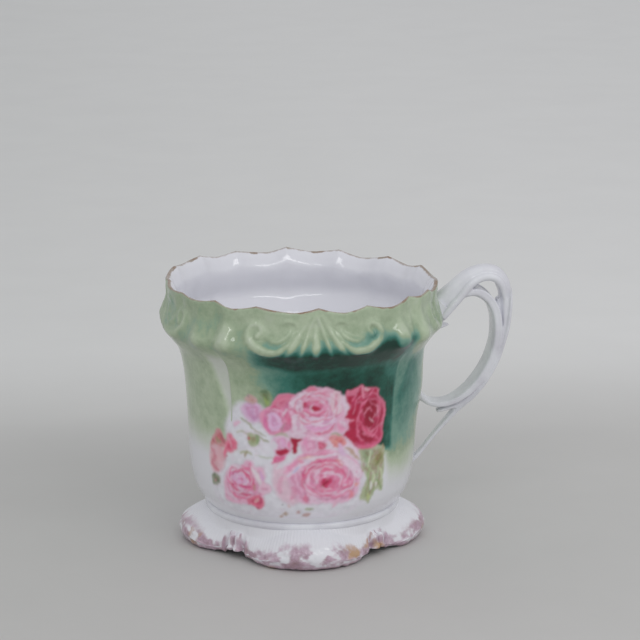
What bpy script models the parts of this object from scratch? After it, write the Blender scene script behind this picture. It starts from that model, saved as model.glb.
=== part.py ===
"""A porcelain shaving mug with a moulded collar, a four-lobed foot and an openwork handle.

Metres, +Z up. The table is z = 0, and the origin is the middle of the bounding box on the table. The mug's own
axis stands at AXIS_X, the handle reaches along +X, and the decorated side faces -Y. Body and foot have four equal
panels, centred on the handle's side and each quarter turn from it, with a corner between each two.
"""

import math

import bmesh
import bpy
from mathutils import Vector

MM = 0.001

# Driving dimensions, in millimetres.
RIM_HEIGHT = 89.0
BULGE_RADIUS = 48.1  # the widest ring of the moulded collar
HANDLE_REACH = 72.0  # from the mug's axis to the handle's outermost point
WALL = 3.1
FLOOR_TOP = 16.2
BODY_BOTTOM = 12.6
FOOT_TOP = 10.7
FOOT_RADIUS = 41.2
GAP = 0.3  # between neighbouring pieces
SLIP = 1.2  # thickness of the slip pads at the handle's three ends
AXIS_X = (BULGE_RADIUS - HANDLE_REACH) / 2

TURN_STEPS = 64
PANEL = math.pi / 2  # the angle that each of the four panels takes

# Outer outline of the body, rim to base: radius and height.
OUTER_KEYS = [
    (46.2, RIM_HEIGHT - 0.5),
    (45.3, 82.8),
    (47.2, 78.0),
    (BULGE_RADIUS, 74.7),
    (45.2, 69.5),
    (41.8, 65.0),
    (39.6, 56.5),
    (38.4, 46.0),
    (38.2, 25.0),
    (37.2, 18.0),
    (35.2, 14.3),
    (33.4, BODY_BOTTOM),
]
# Foot at a lobe's middle, from its inner top edge down its inside, round the rolled lip and up its outside.
FOOT_INSIDE_KEYS = [(29.5, FOOT_TOP - 0.2), (30.0, 8.4), (34.2, 6.6), (36.8, 3.6), (37.4, 0.9)]
FOOT_OUTSIDE_KEYS = [(40.7, 0.7), (FOOT_RADIUS, 2.6), (40.9, 4.8), (39.8, 6.8), (37.2, 8.8), (33.4, FOOT_TOP)]
FOOT_CONTACT = (37.9, 40.0)  # inner and outer radius of the flat that stands on the table
LOBE_CENTRE = 20.0  # from the axis to the middle of a lobe's circle

# Handle strands in the plane of the handle: distance from the mug's axis, height, half thickness, half width.
STRAP_KEYS = [
    (43.5, 74.6, 2.6, 5.9),
    (48.1, 79.3, 2.6, 5.7),
    (53.6, 84.7, 2.4, 5.4),
    (58.2, 88.2, 2.1, 5.2),
    (63.0, 89.5, 1.8, 5.2),
    (67.2, 88.6, 1.6, 5.2),
    (70.0, 84.9, 1.4, 5.2),
    (HANDLE_REACH - 1.3, 79.0, 1.3, 5.2),
    (69.6, 71.5, 1.3, 5.1),
    (66.6, 63.0, 1.3, 5.0),
    (62.6, 55.2, 1.3, 4.9),
    (58.2, 49.3, 1.3, 4.8),
    (52.8, 44.0, 1.2, 4.6),
    (46.9, 38.4, 1.1, 4.4),
    (42.5, 32.2, 1.1, 4.2),
    (39.0, 25.4, 1.1, 4.0),
    (36.2, 20.0, 1.1, 4.0),
]
LOOP_KEYS = [
    (56.0, 84.0, 1.0, 4.6),
    (60.6, 84.4, 1.1, 5.0),
    (64.2, 82.2, 1.1, 5.1),
    (66.9, 78.4, 1.1, 5.1),
    (67.7, 73.2, 1.1, 5.1),
    (66.6, 66.0, 1.1, 5.1),
    (63.2, 58.2, 1.2, 5.0),
    (58.6, 51.6, 1.3, 5.0),
    (53.4, 47.4, 1.4, 4.9),
    (48.3, 45.8, 1.4, 4.8),
    (43.4, 46.4, 1.4, 4.7),
    (39.2, 49.2, 1.5, 4.7),
    (35.4, 52.0, 1.5, 4.7),
]
WEB_KEYS = [
    (68.9, 80.2, 1.3, 2.6),
    (69.0, 73.0, 1.5, 2.7),
    (66.9, 65.0, 1.2, 2.7),
    (62.4, 56.2, 1.0, 2.6),
    (57.2, 49.3, 1.0, 2.4),
]
UPPER_END, LOOP_END, TAIL_END = STRAP_KEYS[:3], LOOP_KEYS[-3:], STRAP_KEYS[-3:]

PORCELAIN = (0.86, 0.87, 0.88)
PALE_GREEN = (0.45, 0.56, 0.40)
PALE_MAUVE = (0.72, 0.66, 0.68)
SLIP_WHITE = (0.80, 0.81, 0.80)


def smooth_through(keys, steps):
    """The points of a Catmull-Rom curve through the keys, with this many steps to each span."""
    keys = [Vector(k) for k in keys]
    ends = [2 * keys[0] - keys[1], *keys, 2 * keys[-1] - keys[-2]]
    points = []
    for a, b, c, d in zip(ends, ends[1:], ends[2:], ends[3:]):
        for i in range(steps):
            t = i / steps
            bend = 2 * a - 5 * b + 4 * c - d
            turn = 3 * b - a - 3 * c + d
            points.append(b + t * (c - a) / 2 + t * t * bend / 2 + t**3 * turn / 2)
    return [*points, keys[-1]]


def ease(low, high, value):
    """0 up to low, 1 from high on, and a smooth rise between them."""
    t = min(max((value - low) / (high - low), 0), 1)
    return t * t * (3 - 2 * t)


def off_panel_middle(angle):
    """The angle from the middle of the nearest panel, from -45 to 45 degrees."""
    return (angle + PANEL / 2) % PANEL - PANEL / 2


def rim_drop(angle):
    """How far the scalloped rim lies below its tips: a tall tip each 45 degrees, a lower one between them."""
    return 1.1 * abs(math.sin(8 * angle)) + 0.4 * math.sin(4 * angle) ** 2


def collar_swell(angle, height):
    """Radial rise of the collar: a boss at each corner, and a shallow crease below each tall tip of the rim."""
    boss = 1.2 * math.sin(2 * angle) ** 6 * math.exp(-(((height - 77) / 4) ** 2))
    crease = 0.8 * math.cos(4 * angle) ** 8 * ease(82, 88, height)
    return boss - crease


def shape_wall(radius, height, angle):
    """A point of the turned body, moved to its place on the moulded one."""
    return radius + collar_swell(angle, height), height - rim_drop(angle) * ease(82, 87.5, height)


def lobe_radius(angle):
    """Radius of the foot's outline: circles side by side, with a scroll knot in each corner between them."""
    turn = off_panel_middle(angle)
    circle = FOOT_RADIUS - LOBE_CENTRE
    outline = LOBE_CENTRE * math.cos(turn)
    outline += math.sqrt(circle**2 - (LOBE_CENTRE * math.sin(turn)) ** 2)
    knot = 3.4 * math.exp(-(((abs(turn) - PANEL / 2) / math.radians(5.5)) ** 2))
    return outline + knot


def shape_foot(radius, height, angle):
    """A point of the turned foot, drawn in to the lobes' outline and lifted off the table beside the knots."""
    drawn_in = (FOOT_RADIUS - lobe_radius(angle)) * ease(FOOT_TOP, 3.5, height)
    beside_knot = ease(math.radians(22), math.radians(36), abs(off_panel_middle(angle)))
    return radius - drawn_in, height + 1.2 * beside_knot * ease(3.5, 0.5, height)


def porcelain(name, colour, roughness=0.12):
    """A glazed ceramic material."""
    material = bpy.data.materials.new(name)
    material.use_nodes = True
    shader = material.node_tree.nodes["Principled BSDF"]
    shader.inputs["Base Color"].default_value = (*colour, 1)
    shader.inputs["Roughness"].default_value = roughness
    shader.inputs["Metallic"].default_value = 0.0
    shader.inputs["Coat Weight"].default_value = 0.5
    return material


def new_object(name, mesh, collection):
    thing = bpy.data.objects.new(name, mesh)
    collection.objects.link(thing)
    return thing


def made_real(thing):
    """The thing with its modifiers applied to its own mesh."""
    real = bpy.data.meshes.new_from_object(thing.evaluated_get(bpy.context.evaluated_depsgraph_get()))
    thing.modifiers.clear()
    thing.data = real
    return thing


def turned(name, outline, is_ring, shape, collection):
    """Turns an outline of (radius, height) points about the axis, then moves each point by the shape function."""
    mesh = bpy.data.meshes.new(name)
    edges = [(i, i + 1) for i in range(len(outline) - 1)]
    if is_ring:
        edges.append((len(outline) - 1, 0))
    mesh.from_pydata([(r * MM, 0, z * MM) for r, z in outline], edges, [])
    thing = new_object(name, mesh, collection)
    screw = thing.modifiers.new("turn", "SCREW")
    screw.axis = "Z"
    screw.steps = screw.render_steps = TURN_STEPS
    screw.use_merge_vertices = True
    screw.merge_threshold = 0.0001
    made_real(thing)
    for vertex in thing.data.vertices:
        x, y, z = vertex.co / MM
        angle = math.atan2(y, x)
        radius, height = math.hypot(x, y), z
        if radius > 1:
            radius, height = shape(radius, height, angle)
        vertex.co = Vector((radius * math.cos(angle), radius * math.sin(angle), height)) * MM
    return thing


def outer_outline():
    """The body's outer side, top to bottom."""
    return [tuple(p) for p in smooth_through(OUTER_KEYS, 2)]


def inner_outline():
    """The body's inner side, from the middle of the floor up to the rim: a wall's thickness inside the outer."""
    bend = [(26.0, FLOOR_TOP), (31.5, FLOOR_TOP + 1.4), (34.4, FLOOR_TOP + 5.4)]
    wall = [(r - WALL, z) for r, z in outer_outline() if FLOOR_TOP + 7 < z < RIM_HEIGHT - 3]
    lip = [(43.9, RIM_HEIGHT - 1.0), (45.0, RIM_HEIGHT)]
    return [(0, FLOOR_TOP), (14.0, FLOOR_TOP), *bend, *wall[::-1], *lip]


def wall_solid(name, gap, collection):
    """The body's outer shape as one filled solid, this much larger all round: what the handle's ends meet."""
    outline = [(r + gap, z) for r, z in outer_outline()]
    return turned(name, [(0, RIM_HEIGHT), *outline, (0, BODY_BOTTOM)], False, shape_wall, collection)


def ribbon(name, keys, collection, steps=3, sides=12, grow=1.0):
    """A flat strand with an oval section that follows the keys, with its ends closed."""
    points = smooth_through(keys, steps)
    mesh = bmesh.new()
    rings = []
    for i, (x, z, thick, wide) in enumerate(points):
        before, after = points[max(i - 1, 0)], points[min(i + 1, len(points) - 1)]
        along = Vector((after[0] - before[0], 0, after[1] - before[1])).normalized()
        across = Vector((-along.z, 0, along.x))
        ring = []
        for k in range(sides):
            turn = 2 * math.pi * k / sides
            offset = across * thick * math.cos(turn) + Vector((0, 1, 0)) * wide * math.sin(turn)
            ring.append(mesh.verts.new((Vector((x, 0, z)) + offset * grow) * MM))
        rings.append(ring)
    for ring, following in zip(rings, rings[1:]):
        for k in range(sides):
            j = (k + 1) % sides
            mesh.faces.new((ring[k], ring[j], following[j], following[k]))
    mesh.faces.new(rings[0][::-1])
    mesh.faces.new(rings[-1])
    bmesh.ops.recalc_face_normals(mesh, faces=mesh.faces)
    data = bpy.data.meshes.new(name)
    mesh.to_mesh(data)
    mesh.free()
    return new_object(name, data, collection)


def boolean(thing, operation, other):
    modifier = thing.modifiers.new(other.name, "BOOLEAN")
    modifier.operation = operation
    modifier.solver = "EXACT"
    modifier.object = other


def make_body(parts):
    outline = inner_outline() + outer_outline() + [(0, BODY_BOTTOM)]
    return turned("mug_body", outline, False, shape_wall, parts)


def make_foot(parts):
    contact = [(r, 0.0) for r in FOOT_CONTACT]
    inside = [tuple(p) for p in smooth_through(FOOT_INSIDE_KEYS, 1)]
    outside = [tuple(p) for p in smooth_through(FOOT_OUTSIDE_KEYS, 2)]
    return turned("foot", (inside + contact + outside)[::-1], True, shape_foot, parts)


def make_foot_joint(parts):
    """A ring of slip between body and foot, with a rounded outer edge that shows as a thin roll."""
    low, high = FOOT_TOP + GAP, BODY_BOTTOM - GAP
    middle, round_off = (low + high) / 2, (high - low) / 2
    edge = [math.radians(a) for a in (90, 45, 0, -45, -90)]
    outline = [(30.2, low), (30.2, high)]
    outline += [(32.9 + round_off * math.cos(a), middle + round_off * math.sin(a)) for a in edge]
    return turned("foot_joint", outline, True, lambda radius, height, angle: (radius, height), parts)


def make_handle(parts, cutters):
    """Strap, loop and web joined into one casting, ending just short of the slip pads."""
    handle = ribbon("handle", STRAP_KEYS, parts)
    for name, keys in (("loop", LOOP_KEYS), ("web", WEB_KEYS)):
        boolean(handle, "UNION", ribbon(name, keys, cutters))
    boolean(handle, "DIFFERENCE", wall_solid("handle_stop", SLIP + 2 * GAP, cutters))
    return handle


def make_slip_pads(parts, cutters):
    """The slip between each end of the handle and the wall: a little wider than the strand that it holds."""
    outside = wall_solid("pad_outside", SLIP + GAP, cutters)
    inside = wall_solid("pad_inside", GAP, cutters)
    pads = []
    for name, keys in (("upper_joint", UPPER_END), ("loop_joint", LOOP_END), ("tail_joint", TAIL_END)):
        pad = ribbon(name, keys, parts, grow=1.12)
        boolean(pad, "INTERSECT", outside)
        boolean(pad, "DIFFERENCE", inside)
        pads.append(pad)
    return pads


def new_collection(name):
    collection = bpy.data.collections.new(name)
    bpy.context.scene.collection.children.link(collection)
    return collection


def main():
    for thing in list(bpy.data.objects):
        bpy.data.objects.remove(thing, do_unlink=True)
    parts, cutters = new_collection("shaving_mug"), new_collection("cutters")
    axis = new_object("mug_axis", None, parts)
    axis.location.x = AXIS_X * MM

    body, foot = make_body(parts), make_foot(parts)
    foot_joint, handle = make_foot_joint(parts), make_handle(parts, cutters)
    pads = make_slip_pads(parts, cutters)

    slip = porcelain("slip", SLIP_WHITE, 0.2)
    body.data.materials.append(porcelain("body_glaze", PALE_GREEN))
    foot.data.materials.append(porcelain("foot_glaze", PALE_MAUVE))
    handle.data.materials.append(porcelain("handle_glaze", PORCELAIN))
    for pad in [foot_joint, *pads]:
        pad.data.materials.append(slip)

    for cutter in cutters.objects:
        cutter.hide_render = True
        cutter.display_type = "WIRE"
        cutter.parent = axis
    for part in [body, foot, foot_joint, handle, *pads]:
        part.parent = axis
        part.data.shade_smooth()
        part.data.set_sharp_from_angle(angle=math.radians(50))


main()
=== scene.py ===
"""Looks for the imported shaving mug: moulded and printed body, lobed foot, openwork handle.

Shapes are worked out in millimetres about the mug's own axis and become metres in the shared frame when a
mesh is made. Angles named "turn" are degrees from the middle of the printed front, growing to the handle.
"""

import math

import bpy
import numpy as np
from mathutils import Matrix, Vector


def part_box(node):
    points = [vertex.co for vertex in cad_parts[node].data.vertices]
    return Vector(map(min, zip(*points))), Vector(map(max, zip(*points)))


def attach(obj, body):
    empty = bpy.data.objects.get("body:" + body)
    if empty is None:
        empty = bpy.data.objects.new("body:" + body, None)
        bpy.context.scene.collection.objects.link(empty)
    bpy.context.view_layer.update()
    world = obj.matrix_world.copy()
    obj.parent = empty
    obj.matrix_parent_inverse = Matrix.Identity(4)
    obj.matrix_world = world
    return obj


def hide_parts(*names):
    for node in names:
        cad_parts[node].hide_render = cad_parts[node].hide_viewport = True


MM = 0.001

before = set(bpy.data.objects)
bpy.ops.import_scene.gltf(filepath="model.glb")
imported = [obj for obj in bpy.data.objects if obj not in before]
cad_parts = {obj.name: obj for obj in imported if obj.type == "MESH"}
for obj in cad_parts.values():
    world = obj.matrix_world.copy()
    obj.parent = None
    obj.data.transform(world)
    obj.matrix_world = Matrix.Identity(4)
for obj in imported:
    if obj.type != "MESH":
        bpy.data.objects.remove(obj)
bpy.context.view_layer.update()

# Driving sizes, in millimetres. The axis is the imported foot's, and the table is at height 0.
foot_low, foot_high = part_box("foot")
AXIS_X = (foot_low.x + foot_high.x) / 2 / MM
AXIS_Y = (foot_low.y + foot_high.y) / 2 / MM
RIM = 89.0
WALL = 3.1
BULGE = 46.8  # radius of the collar at its widest, under its relief
FOOT_RADIUS = 41.6
LOBE_CENTRE = 20.0  # from the axis to the middle of a lobe's circle
FOOT_TWIST = 3.7  # degrees by which the foot's lobes lag behind the collar's panels

# Body outline (radius, height): the floor from its middle out, the lip, the outer wall going down.
FLOOR_KEYS = [(8, 16.2), (14, 16.2), (26, 16.3), (31.5, 17.6), (34.4, 21.6)]
LIP_KEYS = [(42.4, 86.2), (43.6, 88.2), (44.5, RIM), (45.1, 88.5), (45.0, 86.9)]
OUTER_KEYS = [
    (44.8, 83.6), (45.8, 80.0), (BULGE, 76.9), (46.4, 74.6), (44.3, 71.5), (41.8, 67.9), (40.5, 63.6),
    (39.5, 57.0), (38.7, 46.0), (38.3, 36.0), (37.7, 27.5), (36.6, 21.8), (35.7, 19.3), (34.7, 17.3),
    (33.5, 15.5), (31.9, 13.8),
]
BODY_BASE = 13.2  # height of its underside, which just sinks into the foot's inner edge
COLLAR_FOOT = 64.5  # height at which the fine rows of the collar end outside
LIP_FOOT = 84.5  # height at which the fine rows of the lip begin inside

# How far apart the body's rows are along its outline, and how many columns each has.
INSIDE_ROWS = (1.15, 180)
LIP_ROWS = (0.4, 720)
COLLAR_ROWS = (0.4, 720)
WALL_ROWS = (0.9, 360)


# ---------------------------------------------------------------- curves and fields

def ease(low, high, value):
    """0 up to low, 1 from high on, and a smooth rise between them. low may be above high."""
    t = np.clip((value - low) / (high - low), 0, 1)
    return t * t * (3 - 2 * t)


def bump(middle, half, value):
    """A round hill of height 1 at middle, which falls to 0.37 at half to either side."""
    return np.exp(-(((value - middle) / half) ** 2))


def smooth_through(keys, steps=12):
    """Points of a Catmull-Rom curve through the keys, which may have any number of values each."""
    keys = np.array(keys, float)
    ends = np.vstack([2 * keys[0] - keys[1], keys, 2 * keys[-1] - keys[-2]])
    t = (np.arange(steps) / steps)[:, None]
    points = []
    for a, b, c, d in zip(ends, ends[1:], ends[2:], ends[3:]):
        points.append(b + t * (c - a) / 2 + t**2 * (2 * a - 5 * b + 4 * c - d) / 2
                      + t**3 * (3 * b - a - 3 * c + d) / 2)
    return np.vstack([*points, keys[-1:]])


def respaced(points, spacing):
    """The same line with points this far apart along it."""
    steps = np.linalg.norm(np.diff(points[:, :2], axis=0), axis=1)
    along = np.concatenate([[0], np.cumsum(steps)])
    count = max(2, round(along[-1] / spacing) + 1)
    at = np.linspace(0, along[-1], count)
    return np.column_stack([np.interp(at, along, column) for column in points.T])


def left_of(points):
    """Unit normals on the left of a line of points."""
    along = np.gradient(points[:, :2], axis=0)
    along /= np.linalg.norm(along, axis=1)[:, None]
    return np.column_stack([-along[:, 1], along[:, 0]])


def nearest_on(path, u, v):
    """For each (u, v): its distance to a path of (u, v, ...) points, and the path's other values there."""
    best = np.full(u.shape, 1e9)
    extra = np.zeros((path.shape[1] - 2, *u.shape))
    for start, end in zip(path, path[1:]):
        du, dv = end[:2] - start[:2]
        share = np.clip(((u - start[0]) * du + (v - start[1]) * dv) / max(du * du + dv * dv, 1e-9), 0, 1)
        away = np.hypot(u - start[0] - share * du, v - start[1] - share * dv)
        closer = away < best
        best = np.where(closer, away, best)
        for i in range(len(extra)):
            extra[i] = np.where(closer, start[2 + i] + share * (end[2 + i] - start[2 + i]), extra[i])
    return best, extra


def ridge(keys, u, v, steps=5):
    """A rounded ridge along a smooth line of (u, v, half width, height) keys."""
    away, (half, height) = nearest_on(smooth_through(keys, steps), u, v)
    return height * np.exp(-((away / half) ** 2))


def hashed(ix, iy, seed):
    """A repeatable number from 0 to 1 for each whole (ix, iy)."""
    n = np.sin(ix * 127.1 + iy * 311.7 + seed * 74.7) * 43758.5453
    return n - np.floor(n)


def mottle(x, y, seed=0, octaves=3):
    """Smooth noise from -1 to 1 over the plane, with finer detail in each octave."""
    total, size, weight = np.zeros(np.shape(x)), 1.0, 0.0
    for octave in range(octaves):
        scale = 2.0**octave
        px, py = x * scale, y * scale
        ix, iy = np.floor(px), np.floor(py)
        fx, fy = px - ix, py - iy
        fx, fy = fx * fx * (3 - 2 * fx), fy * fy * (3 - 2 * fy)
        k = seed + octave * 17
        low = hashed(ix, iy, k) * (1 - fx) + hashed(ix + 1, iy, k) * fx
        high = hashed(ix, iy + 1, k) * (1 - fx) + hashed(ix + 1, iy + 1, k) * fx
        total += (low * (1 - fy) + high * fy) * size
        weight += size
        size /= 2
    return total / weight * 2 - 1


# ---------------------------------------------------------------- meshes made of rings

def place(radius, height, angle):
    """Points in metres in the shared frame for polar ones in millimetres. angle 0 is at the handle."""
    return np.column_stack([
        (AXIS_X + radius * np.cos(angle)) * MM,
        (AXIS_Y + radius * np.sin(angle)) * MM,
        height * MM,
    ])


def turn_of(angle):
    """Degrees from the middle of the front, -180 to 180, for radians from the handle."""
    return (np.degrees(angle) + 90 + 180) % 360 - 180


def off_panel(turn):
    """Degrees from the middle of the nearest of the four panels, -45 to 45."""
    return (turn + 45) % 90 - 45


def bridge(first, second, closed=True):
    """Faces between two rings of vertex numbers. One may have a whole multiple of the other's."""
    faces = []
    many, few = max(len(first), len(second)), min(len(first), len(second))
    if not closed:
        many, few = many - 1, few - 1
    ratio = many // few
    for i in range(few):
        a = first[i * ratio:(i + 1) * ratio + 1] if len(first) > len(second) else first[i:i + 2]
        b = second[i * ratio:(i + 1) * ratio + 1] if len(second) > len(first) else second[i:i + 2]
        if closed and i == few - 1:
            a, b = [*a, first[0]], [*b, second[0]]
        faces.append([a[0], *b, *a[:0:-1]])
    return faces


def skin(rings, looped=False, flip=False):
    """Faces between each ring and the next, and from the last back to the first when looped."""
    faces = []
    for first, second in zip(rings, rings[1:] + rings[:1] if looped else rings[1:]):
        faces += bridge(second, first) if flip else bridge(first, second)
    return faces


def unmoved(radius, height, *others):
    """The shape of a ring that stays as it was turned."""
    return radius, height


def turned(rows, shape=unmoved):
    """Rings about the mug's axis from rows of radius, height, normal (2 values), outside (1 or 0), columns.

    shape gives each ring its moulded radius and height. Returns the points, the rings of vertex numbers,
    and the turn, turned height and outside of every point.
    """
    points, rings, facts, start = [], [], [], 0
    for radius, height, normal_r, normal_z, outside, columns in rows:
        columns = int(columns)
        angle = 2 * np.pi * np.arange(columns) / columns
        full = np.ones(columns)
        r, z = shape(radius * full, height * full, normal_r, normal_z, angle, outside)
        points.append(place(r, z, angle))
        rings.append(list(range(start, start + columns)))
        facts.append(np.column_stack([turn_of(angle), height * full, outside * full]))
        start += columns
    return np.vstack(points), rings, np.vstack(facts).T


def mesh_object(name, points, faces, attributes=None):
    """A smooth-shaded object with float or colour attributes given by vertex."""
    mesh = bpy.data.meshes.new(name)
    mesh.from_pydata(points.tolist(), [], faces)
    for key, values in (attributes or {}).items():
        if values.ndim == 1:
            layer = mesh.attributes.new(key, "FLOAT", "POINT")
            layer.data.foreach_set("value", values.astype(np.float32))
        else:
            layer = mesh.color_attributes.new(key, "FLOAT_COLOR", "POINT")
            filled = np.column_stack([values, np.ones(len(values))])
            layer.data.foreach_set("color", filled.astype(np.float32).ravel())
    mesh.polygons.foreach_set("use_smooth", np.ones(len(mesh.polygons), bool))
    mesh.update()
    return in_scene(name, mesh)


def in_scene(name, data):
    """A new object with this mesh, camera or light, linked to the scene."""
    thing = bpy.data.objects.new(name, data)
    bpy.context.scene.collection.objects.link(thing)
    return thing


# ---------------------------------------------------------------- the body's shape

# The scalloped rim all the way round: turn of each tip, valley and bend, and its rise over RIM.
RIM_LINE = [
    (-180, 1.8), (-171, 0.0), (-156, 1.6), (-147, 0.5), (-135, 2.4), (-123, 1.3), (-112, 2.3),
    (-101, 1.2), (-90, 1.6), (-79, 0.5), (-68, 1.0), (-57, 0.2), (-46, 1.4), (-37, -0.3), (-26, 1.2),
    (-10, -0.4), (0, 1.0), (11, -0.8), (21, 0.8), (33, -0.9), (44, 1.1), (53, 0.1), (60, 0.9), (68, -0.6),
    (79, 0.8), (88, 0.2), (97, -0.5), (108, 0.9), (119, -0.8), (131, 0.8), (145, -1.1), (156, 1.1),
    (168, 0.0), (180, 1.8),
]


def rim_rise(turn):
    """How far the scalloped rim stands above RIM: pointed tips with round valleys between them."""
    at, rise = np.array(RIM_LINE, float).T
    i = np.clip(np.searchsorted(at, turn, side="right") - 1, 0, len(at) - 2)
    share = (turn - at[i]) / (at[i + 1] - at[i])
    uphill = rise[i + 1] > rise[i]
    share = np.where(uphill, share**1.5, 1 - (1 - share) ** 1.5)
    return rise[i] + (rise[i + 1] - rise[i]) * share


def away_from_handle(turn):
    """0 where the strap meets the collar, which is plain there, and 1 elsewhere."""
    return 1 - bump(90, 15, turn)


def wall_swell(turn, height):
    """Broad swelling that inside and outside share: billows under the rim, bosses by the corners."""
    off = np.abs(off_panel(turn))
    crease = bump(0, 3.2, off) + 0.7 * bump(23, 3, off) + bump(45, 3.5, off)
    billow = 0.7 * (0.6 - crease) * ease(70, 84, height)
    boss = 1.0 * bump(38, 6, off) * bump(77, 5.5, height) * away_from_handle(turn)
    garland = 0.5 * bump(14, 8, off) * bump(76, 5, height) * away_from_handle(turn)
    below_strap = 1.5 * bump(88, 26, turn) * bump(54, 10, height)
    behind_strap = 1.1 * bump(90, 20, turn) * bump(72, 5, height)
    return billow + boss + garland + (below_strap - behind_strap)


# Lines of the collar's relief on one half of a panel. Each key is distance from the panel's middle, depth
# below the rim, half width and height.
PALMETTE_DROP = [
    (0, 6, 0.8, 0.5), (0, 10, 1.2, 1.1), (0, 14, 1.7, 1.4), (0, 16.5, 1.4, 0.9),
]
PALMETTE_STEM = [
    (0, 0.8, 0.9, 0.4), (0.8, 4, 0.9, 0.8), (2.4, 8, 0.9, 1.0), (3.6, 12, 1.0, 1.1), (5.2, 17, 0.9, 0.5),
]
PALMETTE_LEAF = [
    (1.0, 1.2, 0.9, 0.3), (3.6, 5.5, 1.1, 0.8), (6.0, 10, 1.3, 1.2), (8.2, 14, 1.5, 1.2),
    (11.4, 18.5, 1.0, 0.2),
]
SCROLL_OUTER = [
    (6.8, 8.0, 0.8, 0.4), (8.8, 12.2, 1.3, 0.9), (12.4, 15.2, 1.7, 1.3), (17.0, 15.3, 1.9, 1.5),
    (20.9, 12.8, 1.8, 1.5), (22.6, 9.6, 1.6, 1.4), (21.8, 6.9, 1.3, 1.2), (19.3, 6.4, 1.1, 1.0),
    (18.2, 8.4, 1.0, 1.0), (19.4, 10.2, 1.2, 1.3),
]
SCROLL_INNER = [
    (7.8, 6.2, 0.8, 0.3), (9.8, 9.8, 1.1, 0.9), (13.2, 11.6, 1.2, 1.0), (16.4, 10.2, 0.8, 0.5),
]
SWIRL = [
    (11.0, 5.0, 0.7, 0.3), (9.6, 3.5, 0.8, 0.6), (7.2, 3.8, 0.8, 0.6), (6.4, 5.8, 0.7, 0.5),
    (8.0, 7.2, 0.6, 0.3),
]
BOSS = [
    (30.4, 1.2, 1.5, 0.3), (30.8, 5.5, 2.2, 0.7), (31.0, 10.0, 3.0, 1.2), (31.2, 13.6, 3.6, 1.7),
]
BOSS_SIDE = [(36.6, 2.0, 1.0, 0.2), (36.6, 8.0, 1.4, 0.6), (36.6, 12.5, 1.5, 0.6)]
COLLAR_LINES = [
    PALMETTE_DROP, PALMETTE_STEM, PALMETTE_LEAF, SCROLL_OUTER, SCROLL_INNER, SWIRL, BOSS, BOSS_SIDE,
]


def collar_relief(turn, height):
    """Height of the moulded palmettes, scrolls and bosses over the turned outline."""
    off = np.radians(off_panel(turn + 1.3)) * BULGE
    depth = (RIM - height) * 1.18
    across = np.abs(off)
    relief = np.zeros(np.shape(across))
    for line in COLLAR_LINES:
        relief = np.maximum(relief, ridge(line, across, depth))
    uneven = 0.22 * mottle(turn / 5, height / 4, 71, 2) * ease(1, 5, depth) * ease(21, 16, depth)
    crisp = 0.7 - 0.22 * ease(44, 60, np.abs(turn))
    relief = crisp * relief * ease(0.2, 2.5, depth) * ease(20, 16, depth) + uneven
    return relief * away_from_handle(turn)


def flute_span(turn, height):
    """1 within the tapering flute below each corner of the collar, straight on its front or back side."""
    from_face = np.abs((turn + 90) % 180 - 90)
    far_side = 53.5 - 8.5 * ease(71, 49, height)
    within = ease(42.2, 43.6, from_face) * ease(far_side + 1.5, far_side - 2.5, from_face)
    return within * ease(73, 69, height) * ease(47, 52, height) * (1 - 0.85 * bump(47, 14, turn))


def outer_relief(turn, height):
    """All that moves the body's outer side along its normal."""
    shape = np.zeros(np.shape(turn))
    high = height > COLLAR_FOOT - 0.5
    shape[high] = collar_relief(turn[high], height[high])
    uneven = 0.05 * mottle(turn / 9, height / 9, 3, 2)
    return shape - 0.75 * flute_span(turn, height) + uneven


def moulded(radius, height, normal_r, normal_z, angle, outside):
    """The moulded radius and height of points on the turned body. outside is 1 on the outer wall."""
    turn = turn_of(angle)
    share = ease(78, 88, height)
    move = outer_relief(turn, height) * outside
    swell = wall_swell(turn, height) * (0.65 + 0.35 * outside)
    ripple = 0.16 * mottle(turn / 7, height / 5, 77, 2) * (1 - outside) * ease(60, 70, height)
    new_radius = radius + swell + ripple + move * normal_r
    new_height = height + rim_rise(turn) * share + move * normal_z
    return new_radius, new_height


def inner_wall():
    """Keys of the inner wall going up, a little further in behind the collar's widest ring."""
    keys = [(r - WALL - 1.3 * bump(77, 6, z), z) for r, z in OUTER_KEYS if 25 <= z < LIP_FOOT]
    return keys[::-1]


def body_path():
    """Rows of the body, as turned() takes them, from the middle of its floor over the rim to its base."""
    dense = smooth_through([*FLOOR_KEYS, *inner_wall(), *LIP_KEYS, *OUTER_KEYS])
    crest = np.argmax(dense[:, 1])
    inner, outer = dense[:crest + 1], dense[crest:]
    rows = []
    for part, (spacing, columns), outside in (
        (inner[inner[:, 1] <= LIP_FOOT], INSIDE_ROWS, 0),
        (inner[inner[:, 1] > LIP_FOOT], LIP_ROWS, 0),
        (outer[outer[:, 1] >= COLLAR_FOOT], COLLAR_ROWS, 1),
        (outer[outer[:, 1] < COLLAR_FOOT], WALL_ROWS, 1),
    ):
        part = respaced(part, spacing)
        if rows and np.allclose(rows[-1][-1][:2], part[0]):
            part = part[1:]
        rows.append(np.column_stack([part, np.full(len(part), outside), np.full(len(part), columns)]))
    rows = np.vstack(rows)
    return np.column_stack([rows[:, :2], left_of(rows), rows[:, 2:]])


def build_body():
    """The whole body, inside and out, with its ground, painted highlights and gilding."""
    base = [(28.0, BODY_BASE, 0, -1, 1, 180), (8.0, BODY_BASE, 0, -1, 1, 60)]
    points, rings, (turn, height, outside) = turned(np.vstack([body_path(), base]), moulded)
    faces = [rings[0], rings[-1][::-1]] + skin(rings)
    attributes = {
        "ground": ground_with_painted_highlights(turn, height) * outside,
        "gilding": bump(RIM, 0.6, height) * gilding_left(turn),
        "cover": np.zeros(len(points)),
        "print_colour": np.zeros((len(points), 3)),
    }
    return mesh_object("body", points, faces, attributes)


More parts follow.
